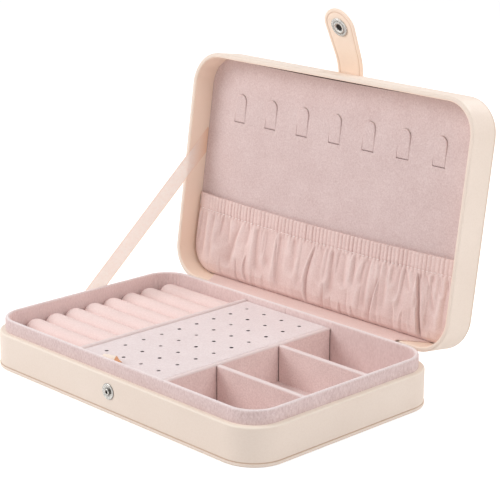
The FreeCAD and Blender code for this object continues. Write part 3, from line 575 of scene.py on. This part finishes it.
def lid_inside_light(tree, place):
    """Where the lid's inner walls take painted light: 0 on the lid's outer faces, rim and top plate, 1 on the
    inside of its walls. Past the corners' centres, the shut point's distance from them is the corner radius on
    the outline and less inside."""
    closed = shut(tree, place)
    off = add(tree, "VectorMath", {0: closed}, operation="ABSOLUTE")
    centre = (half_width - corner_radius, half_depth - corner_radius, 1.0)
    off = add(tree, "VectorMath", {0: off, 1: centre}, operation="SUBTRACT")
    off = add(tree, "VectorMath", {0: off, 1: (0, 0, 0)}, operation="MAXIMUM")
    off = add(tree, "VectorMath", {0: off}, "Value", operation="LENGTH")
    inside = add(tree, "MapRange", {"Value": off, "From Min": corner_radius - rim_turn,
                                    "From Max": corner_radius - wall_inside})
    height = add(tree, "SeparateXYZ", {0: closed}, "Z")
    below = add(tree, "Math", {0: height, 1: plate_under}, operation="LESS_THAN")
    return add(tree, "Math", {0: inside, 1: below}, operation="MULTIPLY")


plate_seam = opened((0, 0, plate_edge))
up_of_lid = opened((0, hinge_y, hinge_z + 1.0)) - opened((0, hinge_y, hinge_z))
# The inside of the lid's walls is painted lighter and warmer, standing in for light bounced into the lid. The
# top plate's seam line is partly the joint and partly painted shade.
lid_leather = leatherette("cream_leatherette_lid", "#f2e2d5", "#ddc7b6", "#d6bda9",
                          seam_line(plate_seam, up_of_lid), "#ffe9d6", lid_inside_light)
dress(lid_leather, "lid_wall_leather", "lid_top_leather")


# Hinge strips
# A leatherette strip glued over the back joint outside, and a soft lining strip inside, tucked behind the
# collar and glued up the lid's rear wall, where its ends splay. On the case both bend as the lid turns; here
# they are drawn as they lie with the lid open.
def hinge_line(radius, down, up, count):
    """Middle line of a strip in the y and z plane: up the base's rear wall, round the hinge line at the
    radius and along the lid's rear wall. Gives the points and each one's share of the lid part, 0 to 1."""
    s = np.linspace(0, 1, count)
    base = np.c_[np.full(count, hinge_y - radius), hinge_z - down * (1 - s)]
    a = np.pi - open_angle * s[1:-1]
    bend = np.c_[hinge_y + radius * np.cos(a), hinge_z + radius * np.sin(a)]
    lid = opened(np.c_[np.zeros(count), np.full(count, hinge_y - radius), hinge_z + up * s])[:, 1:]
    return np.concatenate([base, bend, lid]), np.r_[np.zeros(2 * count - 2), s]


def normals(line):
    """Unit normals of a line in a plane, to the left of its run."""
    run = np.gradient(line, axis=0)
    return np.c_[-run[:, 1], run[:, 0]] / np.linalg.norm(run, axis=1)[:, None]


def strip(name, material, thick, radius, down, up, half, splay, loose):
    """Sheet across the hinge: the line above carried along x, splayed toward the lid's lining, with slack
    ripples of depth loose round the bend. Solidify gives it the cloth's thickness."""
    count = 24
    line, part = hinge_line(radius, down, up, count)
    u = np.linspace(-1, 1, 140)
    x = u * (half + splay * part[:, None])
    bend = np.exp(-((np.arange(len(line)) - len(line) / 2) / 10.0) ** 2)[:, None]
    ripple = loose * bend * np.sin(x / (9 * mm) + 1.7 * np.sin(x / (23 * mm)))
    yz = line[:, None] + normals(line)[:, None] * ripple[:, :, None]
    piece = skin(name, np.dstack([x, yz]), material)
    body = piece.modifiers.new("cloth_thickness", "SOLIDIFY")
    body.thickness, body.offset = thick, 0.0
    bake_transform(piece)
    return piece


hinge_cover = strip("hinge_cover", base_leather, 0.7 * mm, radius=2.1 * mm, down=9 * mm, up=9 * mm,
                    half=91 * mm, splay=0.0, loose=0.0)
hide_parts("hinge_leather")
lining_cloth = velvet("rose_lining_cloth", "#f5ddd7", "#eaccc5", 0.15)
hinge_inside = strip("hinge_inside_lining", lining_cloth, 0.5 * mm, radius=5.65 * mm, down=10 * mm,
                     up=15.6 * mm, half=80 * mm, splay=12 * mm, loose=0.15 * mm)
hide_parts("hinge_lining")


# Stay ribbon
# A flat satin ribbon that stops the lid: one end tucked behind the left collar, the other glued inside the
# lid's wall. It is drawn straight, as it lies with the lid open; on the case it folds back along the wall as
# the lid closes.
ribbon_x, ribbon_wide = -111.95 * mm, 11.6 * mm
ribbon_low, ribbon_high = np.array([9.9, 30.2]) * mm, opened((0, -16.1 * mm, 38.1 * mm))[1:]
low_cut, high_cut, lid_rim, lid_recess = 12.2 * mm, 37.9 * mm, 22.5 * mm, 15.6 * mm
along = ribbon_high - ribbon_low
side = np.array([-along[1], along[0]]) / np.linalg.norm(along)
along_ribbon = (0, *(along / np.linalg.norm(along)))
u = np.linspace(-0.12, 1.04, 120)[:, None, None]
w = np.linspace(-0.5, 0.5, 13)[None, :, None]
yz = ribbon_low + u * along + w * ribbon_wide * side
beyond = ((yz - opened((0, 0, high_cut))[1:]) * up_of_lid[1:]).sum(-1, keepdims=True)
yz = yz - np.maximum(beyond, 0) / (along @ up_of_lid[1:]) * along
yz = yz + np.maximum(low_cut - yz[..., 1:], 0) / along[1] * along
x = ribbon_x + 0.1 * mm * np.cos(np.pi * w[..., 0]) * np.sin(np.pi * u[..., 0].clip(0, 1))
into_lid = ((yz - opened((0, 0, lid_rim))[1:]) * up_of_lid[1:]).sum(-1)
free = np.clip(1 - into_lid / (2 * mm), 0, 1)
# The deeper peach end colour is the selvedge's own along both edges, and painted shade that deepens into the
# lid.
selvedge_and_shade = np.maximum(np.abs(w[..., 0]) > 0.49, 1.5 * np.clip(into_lid / lid_recess, 0, 1))
peach_satin = satin("peach_satin_ribbon", "#fffaf3", "#fbeadf", along_ribbon, on_marks(0.25), "#f8cdac",
                    on_marks(0.6, "crest"))
ribbon = skin("stay_ribbon_band", np.dstack([x, yz]), peach_satin, mark=free, crest=selvedge_and_shade)
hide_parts("stay_ribbon")
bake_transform(ribbon)


# Lid lining and necklace tabs
# A velvet-covered card over foam, cut with seven windows. A springy tongue of covered card fills each window,
# hinged at its lower end and standing a little proud, so that a chain slips behind it.
hook_root, hook_free, hook_axis, hook_half = -30.65 * mm, -48.8 * mm, -31.4 * mm, 4.68 * mm
hook_lift, hook_level, hook_thick = np.radians(3.5), 38.65 * mm, 1.15 * mm
hook_count, hook_first, hook_pitch = 7, -84.3 * mm, 27.5 * mm


def tongue(line, broad, thick, soft, groove_in, narrow=0.0, over=1.0):
    """Flat closed strip along a line in the y and z plane. Its end is round: the half width falls from broad
    as a circle; before that it grows by narrow over the length over. The faces round off within soft of the
    edge, and a groove runs groove_in from it. Gives the points and the groove."""
    groove_deep, groove_wide = 0.2 * mm, 0.35 * mm
    run = np.r_[0, np.cumsum(np.hypot(*np.diff(line, axis=0).T))]
    back = (run[-1] - broad - run)[:, None]
    wide = broad - narrow * np.clip(back / over, 0, 1)
    past = np.clip(-back, 0, broad)
    half = np.sqrt(wide ** 2 - past ** 2)
    a = np.linspace(0, 2 * np.pi, 96, endpoint=False)
    x = half * np.sign(np.cos(a)) * np.abs(np.cos(a)) ** 0.6
    to_edge = np.minimum(wide - np.hypot(x, past), run[:, None])
    rounded = np.sqrt(1 - (1 - np.clip(to_edge / soft, 0, 1)) ** 2)
    groove = np.exp(-((to_edge - groove_in) / groove_wide) ** 2)
    face = np.sign(np.sin(a)) * (np.abs(np.sin(a)) > 1e-6)
    off = (thick / 2 * rounded - groove_deep * groove) * face
    yz = line[:, None] - normals(line)[:, None] * off[:, :, None]
    return np.dstack([x, yz]), groove


def card_gap_shadow(tree, place):
    """Painted shadow: 1 in a dark band between the lid's front wall and a line taken as the lining card's
    edge, which bows away from the wall, less to both sides as the square of the distance along x."""
    bow_middle, bow_half, bow_depth, card_edge = -10 * mm, 80 * mm, 0.8 * mm, -68.35 * mm
    x, y, _ = add(tree, "SeparateXYZ", {0: shut(tree, place)}, None)
    along = add(tree, "Math", {0: x, 1: -bow_middle}, operation="ADD")
    along = add(tree, "Math", {0: along, 1: along}, operation="MULTIPLY")
    card = add(tree, "Math", {0: along, 1: -bow_depth / bow_half ** 2, 2: card_edge},
               operation="MULTIPLY_ADD")
    gap = add(tree, "Math", {0: card, 1: y}, operation="SUBTRACT")
    return add(tree, "MapRange", {"Value": gap, "From Max": 0.25 * mm})


# The lid's velvet takes a painted shadow along the front wall, standing in for a dark gap behind the lining
# card.
lid_velvet = velvet("mauve_velvet_lid", "#e7d4d1", "#cfb5b2", 0.25, ("#2e2220", card_gap_shadow))
dress(lid_velvet, "lid_panel")
reach = hook_axis - np.r_[np.linspace(hook_root, hook_free + hook_half, 20)[:-1],
                          hook_free + hook_half * (1 - np.sin(np.linspace(0, np.pi / 2, 20)))]
line = np.c_[hook_axis - reach * np.cos(hook_lift), hook_level - reach * np.sin(hook_lift)]
flat_hook = tongue(line, hook_half, hook_thick, soft=0.8 * mm, groove_in=-9 * mm)[0]
for k in range(hook_count):
    moved = flat_hook + [hook_first + hook_pitch * k, 0, 0]
    hook = skin("necklace_tongue_%d" % (k + 1), opened(moved), lid_velvet, False, True)
    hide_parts("necklace_tab_%d" % (k + 1))
    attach(hook, "necklace_tab_%d_body" % (k + 1))


# Gathered pocket
# Rose velvet knit, gathered on an elastic in a doubled hem and sewn to the lining card at the sides and foot.
# The elastic crowds the hem into fine ribs; below it the cloth puffs out into uneven folds.
panel_z, pocket_top, pocket_foot, hem_height = 38.1 * mm, 18.4 * mm, 69.95 * mm, 10.5 * mm
pocket_sag, rib_pitch, wall_gap, stitch_up = 2.4 * mm, 3.04 * mm, 3.2 * mm, 0.6 * mm
# Large folds, in mm across and down the lid: start, end, bow, depth and width.
large = np.array([
    (-99.8, 29, -105.1, 46, 0.0, 0.9, 2.6), (-87.5, 29, -91.0, 52, 0.5, 1.0, 2.4),
    (-67.9, 29, -77.9, 62, -0.5, 1.7, 2.6), (-60.0, 50, -58.5, 70, -2.4, 1.3, 0.9),
    (-46.4, 28, -47.5, 50, 0.3, 1.2, 1.7), (-35.4, 31, -30.6, 68, -1.6, 1.4, 1.0),
    (-19.1, 30, -19.4, 55, 0.0, 1.2, 2.2), (-1.7, 30, -6.0, 71, -3.6, 1.8, 1.1),
    (8.0, 52, 6.8, 71, 0.2, 1.5, 0.8), (11.3, 30, 11.8, 61, 0.8, 1.6, 2.2),
    (22.0, 30, 22.8, 53, 0.0, 1.2, 2.2), (40.2, 28, 36.2, 50, -0.6, 1.5, 2.1),
    (50.9, 39, 45.0, 70, -0.6, 1.6, 1.0), (54.4, 28, 55.3, 42, 0.0, 1.2, 1.8),
    (69.2, 28, 74.8, 45, -0.4, 1.2, 2.0), (78.4, 27, 85.2, 70, 0.6, 2.8, 0.7),
    (83.8, 29, 95.3, 54, 0.6, 1.5, 2.2), (95.1, 28, 98.4, 42, 0.0, 1.2, 1.8),
    (100.7, 26, 103.1, 39, 0.2, 1.6, 0.9)])
# Small gathers below the hem and puckers above the foot, spread unevenly.
dice = np.random.default_rng(4)
many = 42
at = np.linspace(-107, 107, many) + dice.uniform(-1.7, 1.7, many)
gathers = np.c_[at, np.full(many, 22.0), at + dice.uniform(-3, 2.4, many), dice.uniform(44, 70, many),
                dice.uniform(-0.8, 0.8, many), dice.uniform(0.6, 1.5, many), dice.uniform(1.2, 2.2, many)]
many = 31
at = np.linspace(-94, 94, many) + dice.uniform(-2.4, 2.4, many)
puckers = np.c_[at + dice.uniform(-1.5, 1.5, many), dice.uniform(50, 63, many), at, np.full(many, 74.0),
                dice.uniform(-0.4, 0.4, many), dice.uniform(0.35, 1.0, many), dice.uniform(0.7, 1.3, many)]
folds = np.concatenate([large, gathers, puckers]) * mm
rib_depths = dice.uniform(0.45, 1.1, 81)


def pocket_reach(y):
    """Half the room between the lid's side walls: full width, less the corner's arc near the foot."""
    r, start = corner_radius - wall_gap, half_depth - corner_radius
    past = np.clip(y - start, 0, r)
    return half_width - wall_gap - r + np.sqrt(r ** 2 - past ** 2)


def pocket_face(x, y):
    """How far the cloth's face stands off the lining: an even puff with long swells, ribs in the hem and folds
    below it. A fold is a valley about its own leaning line, steep on one side with a ridge beside it and
    gentle on the other, thin at the top and eased in and out along its length. Gives the stand-off, the
    painted shade, deepest in a fold and also in the hem's rib grooves and along the foot, and how near to a
    crest, which takes a painted highlight."""
    seam = pocket_top + hem_height + pocket_sag * (1 - (x / pocket_reach(y)) ** 2)
    down = np.clip((y - seam) / (pocket_foot - seam), 0, 1)
    edge = np.clip((pocket_reach(y) - np.abs(x)) / (11 * mm), 0, 1)
    ease = np.sqrt(1 - (1 - edge) ** 2)
    puff = np.interp(down, [0, 0.1, 0.3, 0.6, 0.82, 0.94, 1],
                     np.array([4.1, 4.7, 5.2, 5.5, 4.9, 3.3, 0.5]) * mm)
    phase = x / rib_pitch + 0.16 * np.sin(x / (11 * mm) + 1) + 0.1 * np.sin(x / (4.7 * mm) + 2)
    crowding = rib_depths[np.rint(phase).astype(int) + 40]
    rib = 1 - crowding * (1 - np.abs(np.sin(np.pi * phase)) ** 0.4)
    fade = np.clip(1 - down / (0.13 + 0.06 * np.sin(x / (5.3 * mm))), 0, 1) ** 1.3
    fade = fade * np.clip((x + 112 * mm) / (24 * mm), 0.2, 1)
    drift = x + 5 * mm * (down - 0.5) * np.sin(x / (31 * mm) + 0.6)
    swell = 0.5 * np.sin(drift / (5.4 * mm) + 1.2 * np.sin(drift / (13 * mm)))
    swell = (swell + 0.3 * np.sin(drift / (3.0 * mm) + 2 * down)) * np.sin(np.pi * down.clip(0.03, 1)) ** 0.6
    stand = puff + 1.2 * mm * fade * (rib - 0.7) + 0.7 * mm * swell
    hollow, ridge = np.zeros_like(stand), np.zeros_like(stand)
    for k, (x0, y0, x1, y1, bow, deep, wide) in enumerate(folds):
        t = (y - y0) / (y1 - y0)
        off = (x - x0 - (x1 - x0) * t - bow * 4 * t * (1 - t)) * (1 if k % 2 else -1)
        length = np.clip(np.minimum((t + 0.1) / 0.3, (1.1 - t) / 0.3), 0, 1)
        length = length ** 2 * (3 - 2 * length)
        wide = wide * (0.4 + 0.8 * np.clip(t, 0, 1))
        power = np.clip(0.5 + 0.5 * wide / mm, 0.8, 1.6)
        valley = np.exp(-np.abs(off / np.where(off < 0, wide, 2.4 * wide)) ** power)
        hollow = np.maximum(hollow, deep * valley * length)
        beside = np.exp(-np.abs((off + 1.9 * wide) / (1.1 * wide)) ** 1.3)
        ridge = np.maximum(ridge, 0.4 * deep * beside * length)
    below = np.clip((y - seam) / (3 * mm), 0, 1)
    stand = ease * (stand + below * (ridge - hollow * np.clip(stand / (3 * mm), 0, 1)))
    shade = (hollow / (2.4 * mm)) ** 1.5 * below + 0.9 * fade * (1 - rib) + 0.6 * (down > 0.985)
    return np.maximum(stand, 0.1 * mm), np.clip(shade, 0, 1), np.clip(ridge * below / (0.6 * mm), 0, 1)


u = np.linspace(-1, 1, 680)[None, :]
v = np.r_[np.linspace(0, 1, 7), np.linspace(1, 2, 20)[1:], np.linspace(2, 3, 62)[1:]][:, None]
sag = pocket_sag * (1 - u ** 2)
top, seam = pocket_top + sag, pocket_top + hem_height + sag
below_hem = seam + (pocket_foot - seam) * (v - 2)
y = np.where(v < 1, seam + (top - seam) * v, np.where(v < 2, top + (seam - top) * (v - 1), below_hem))
x = u * pocket_reach(y)
stand, hollow, crest = pocket_face(x, y)
near_top = np.sqrt(np.clip(1 - (1 - np.clip((y - top) / (0.9 * mm), 0, 1)) ** 2, 0, 1))
stitch_line = 0.45 * mm * np.exp(-((y - seam + stitch_up) / (0.7 * mm)) ** 2)
front = stand - stitch_line * (v > 1) - 0.75 * mm * (1 - near_top) * (v < 2.01)
rear = stand - 2.9 * mm + 0.75 * mm * (1 - near_top)
depth = np.maximum(np.where(v < 1, rear, front), 0.1 * mm)
# The deeper rose is painted shade in folds, rib grooves and along the foot; the paler rose is a painted
# highlight on fold crests.
rose_knit = velvet("rose_velvet_knit", "#f4ddd8", "#e2c6c0", 0.2,
                   ("#fbeae6", on_marks(0.4, "crest")), ("#b07a70", on_marks(0.55)))
pocket = skin("gathered_pocket", opened(np.dstack([x, y, panel_z - depth])), rose_knit,
              mark=np.where(v < 1, 0, hollow), crest=np.where(v < 1, 0, crest))
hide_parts("pocket_cloth", "pocket_hem")
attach(pocket, "lid")


# Stitches of the pocket's hem and its elastic
# A row of cotton lockstitches closes the hem's tunnel. The woven elastic lies inside it, out of sight.
stitch_pitch, stitch_long, stitch_thick, stitch_reach = 2.9 * mm, 2.1 * mm, 0.5 * mm, 108 * mm
wave_turns = 20
count = int(2 * stitch_reach / stitch_pitch)
place_x = (np.arange(count) - (count - 1) / 2) * stitch_pitch
place_u = place_x / pocket_reach(np.full(count, pocket_top + hem_height))
place_y = pocket_top + hem_height + pocket_sag * (1 - place_u ** 2) - stitch_up
height = pocket_face(place_x, place_y)[0] - 0.2 * mm
a, b = np.linspace(0, 2 * np.pi, 8, endpoint=False), np.linspace(0, np.pi, 7)[:, None]
one = np.stack([stitch_long / 2 * np.cos(b) + 0 * a, stitch_thick / 2 * np.sin(b) * np.cos(a),
                stitch_thick / 2 * np.sin(b) * np.sin(a)], axis=-1)
middle = np.c_[place_x, place_y, panel_z - height]
points = opened((middle[:, None] + one.reshape(1, -1, 3)).reshape(-1, 3))
faces = quads_of(*one.shape[:2], False, True) + one[..., 0].size * np.arange(count)[:, None, None]
thread, tree, place = new_material("cotton_sewing_thread")
twist = add(tree, "TexWave", {"Vector": place, "Scale": 1 / (0.5 * mm) / wave_turns, "Distortion": 1.0},
            "Fac", bands_direction="DIAGONAL")
colour = add(tree, "Mix", {0: twist, 6: "#fdf2ee", 7: "#eedad5"}, 2, data_type="RGBA")
shader = add(tree, "BsdfPrincipled", {"Base Color": colour, "Roughness": 0.7, "Specular IOR Level": 0.3,
                                      "Sheen Weight": 0.2})
add(tree, "OutputMaterial", {"Surface": shader}, None)
mesh = bpy.data.meshes.new("pocket_stitches")
mesh.from_pydata(points.tolist(), [], faces.reshape(-1, 4).tolist())
stitches = placed("pocket_stitches", mesh, thread)
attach(stitches, "lid")

elastic = matt("woven_elastic", "#efece6", "#d5d0c8", "TexWave",
               {"Scale": 1 / (0.9 * mm) / wave_turns, "Distortion": 0.3}, "Fac", bands_direction="X",
               rough=0.8, gloss=0.2, relief=0.4, depth=0.1 * mm)
dress(elastic, "pocket_elastic")


# Closing strap
# Two layers of peach leatherette with turned edges, glued and pressed, which leaves a line 2 mm inside the
# edge. One end is sewn to the lid's top, the free end curves forward and widens to a round tip.
strap_half, strap_thick, strap_pivot = 11.7 * mm, 1.4 * mm, np.array([-74.0, 44.0]) * mm
anchor_from, anchor_to, anchor_z = -47.6 * mm, -72.6 * mm, 44.75 * mm
# The flap, in mm along it: bent to its steepest, straight past the socket, and eased toward the tip.
bent_to, straight_to, flap_long, steepest = 12, 36.5, 43, 31
arc = np.r_[np.linspace(0, bent_to, 40), np.linspace(bent_to, straight_to, 60)[1:],
            np.linspace(straight_to, flap_long, 44)[1:]] * mm
slope = np.interp(arc / mm, [0, bent_to, straight_to, flap_long], [12, steepest, steepest, 18])
slope = np.radians(slope)
step = np.diff(arc)
mid = (slope[1:] + slope[:-1]) / 2
flap = strap_pivot - np.c_[np.r_[0, np.cumsum(step * np.cos(mid))], np.r_[0, np.cumsum(step * np.sin(mid))]]
s = np.linspace(0, 1, 30)[:-1, None]
anchor = np.c_[anchor_from + s * (anchor_to - anchor_from), np.full(len(s), anchor_z)]
k = np.linspace(0, 1, 8)[:-1, None]
drop = (anchor_z - strap_pivot[1]) * k ** 2 * (3 - 2 * k)
link = np.c_[anchor_to + k * (strap_pivot[0] - anchor_to), anchor_z - drop]
band, groove = tongue(np.concatenate([anchor, link, flap]), strap_half, strap_thick, soft=0.8 * mm,
                      groove_in=2.2 * mm, narrow=1.7 * mm, over=31.3 * mm)
strap_leather = leatherette("peach_leatherette", "#fde8d6", "#f2d5bd", "#d0a98d", on_marks(0.6))
strap = skin("closing_strap", opened(band), strap_leather, False, True, mark=groove)
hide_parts("strap_anchor", "strap_flap")
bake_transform(strap)


# Press socket and cap on the strap
# Nickel-plated brass: a sprung ring inside the strap, held by a split rivet, and a domed cap outside.
tilt, socket_half = np.radians(steepest), 0.45 * mm
outward = opened((0, -np.sin(tilt), np.cos(tilt))) - opened((0, 0, 0))
ring = middle_of("snap_socket")
ring_profile = [(0, 0.42, 1.0), (1.75, 0.42, 1.0, 1), (2.0, 0.36, 1.0, 1), (2.15, 0.12, 0.8, 1),
                (2.25, -0.06, 0.2, 1), (2.5, -0.22), (2.9, -0.4), (3.5, -0.42),
                (4.0, -0.24, 0.5), (4.5, -0.2, 0.3), (5.2, -0.32), (5.9, -0.2), (6.2, 0.1),
                (6.2, 0.45), (0, 0.45)]
socket = turned("press_socket", ring_profile, ring, outward, nickel, petals=0.07)
cap_seat = ring + outward * (socket_half + strap_thick)
cap_profile = [(0, 1.1), (2.1, 1.06), (4.2, 0.9), (5.6, 0.55), (6.1, 0.2), (6.2, 0.0), (1.5, 0.0),
               (1.45, -0.6), (1.4, -1.3, 1.0), (0.6, -1.3, 1.0), (0, -1.3, 1.0)]
cap = turned("press_cap", cap_profile, cap_seat, outward, nickel)
for piece, name in ((socket, "snap_socket"), (cap, "snap_cap")):
    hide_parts(name)
    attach(piece, "strap")


# Floor, light and camera
# A white sweep, lit from all round and less from the camera's side, with soft lamps at the front left, the
# right and behind. The floor glows just enough to stay white and keeps its contact shadow.
def sees_white(tree):
    """1 for rays from the camera, off metal or through glass, which see the white background; else 0."""
    path = add(tree, "LightPath", out=None)
    seen = add(tree, "Math", {0: path["Is Camera Ray"], 1: path["Is Glossy Ray"]}, operation="MAXIMUM")
    return add(tree, "Math", {0: seen, 1: path["Is Transmission Ray"]}, operation="MAXIMUM")


floor_glow, room_light, front_light = 0.42, 0.585, 0.3
floor_paper, tree, place = new_material("white_paper_sweep")
fibre = add(tree, "TexNoise", {"Vector": place, "Scale": 1 / (30 * mm)})
paper = add(tree, "Mix", {0: fibre, 6: "#f4f4f4", 7: "#f7f7f7"}, 2, data_type="RGBA")
glow = add(tree, "Math", {0: sees_white(tree), 1: floor_glow}, operation="MULTIPLY")
white = add(tree, "Emission", {"Strength": glow})
matte = add(tree, "BsdfDiffuse", {"Color": paper})
both = add(tree, "AddShader", {0: matte, 1: white})
add(tree, "OutputMaterial", {"Surface": both}, None)
u, v = np.meshgrid(np.linspace(-3, 3, 9), np.linspace(-3, 3, 9), indexing="ij")
floor = skin("floor", np.dstack([u, v, np.full_like(u, -0.05 * mm)]), floor_paper)

world = bpy.data.worlds.new("studio")
scene.world = world
world.use_nodes = True
tree = world.node_tree
tree.nodes.clear()
way = add(tree, "TexCoord", out="Generated")
way = add(tree, "VectorMath", {0: way, 1: (0.72, -0.69, 0.0)}, "Value", operation="DOT_PRODUCT")
level = add(tree, "MapRange", {"Value": way, "From Min": 0.8, "From Max": 0.97, "To Min": room_light,
                               "To Max": front_light}, interpolation_type="SMOOTHSTEP")
level = add(tree, "Math", {0: level, 1: sees_white(tree)}, operation="MAXIMUM")
sky = add(tree, "Background", {"Color": (1, 1, 1, 1), "Strength": level})
add(tree, "OutputWorld", {"Surface": sky}, None)

for name, spot, size, watts in (("left_lamp", (-0.78, -0.92, 0.85), 0.9, 9.8),
                                ("right_lamp", (1.02, 0.22, 0.85), 0.9, 4.8),
                                ("back_lamp", (0, 0.9, 0.6), 0.35, 2.4)):
    lamp = bpy.data.lights.new(name, "AREA")
    lamp.shape, lamp.size, lamp.energy = "DISK", size, watts
    soft = linked(name, lamp)
    soft.location = spot
    soft.rotation_euler = (Vector((0, 0, 0.06)) - soft.location).to_track_quat("-Z", "Y").to_euler()

lens = bpy.data.cameras.new("view")
lens.sensor_fit, lens.sensor_width, lens.lens = "HORIZONTAL", 36.0, 123.96
camera = linked("view", lens)
right, upward = (0.69439839, 0.71957181, 0.00522353), (-0.20549824, 0.19134193, 0.95977015)
back, stand = (0.68962406, -0.66753627, 0.28073827), (0.69578, -0.63834, 0.35641)
camera.matrix_world = Matrix((*zip(right, upward, back, stand), (0, 0, 0, 1)))
scene.camera = camera
scene.view_settings.view_transform = "Standard"
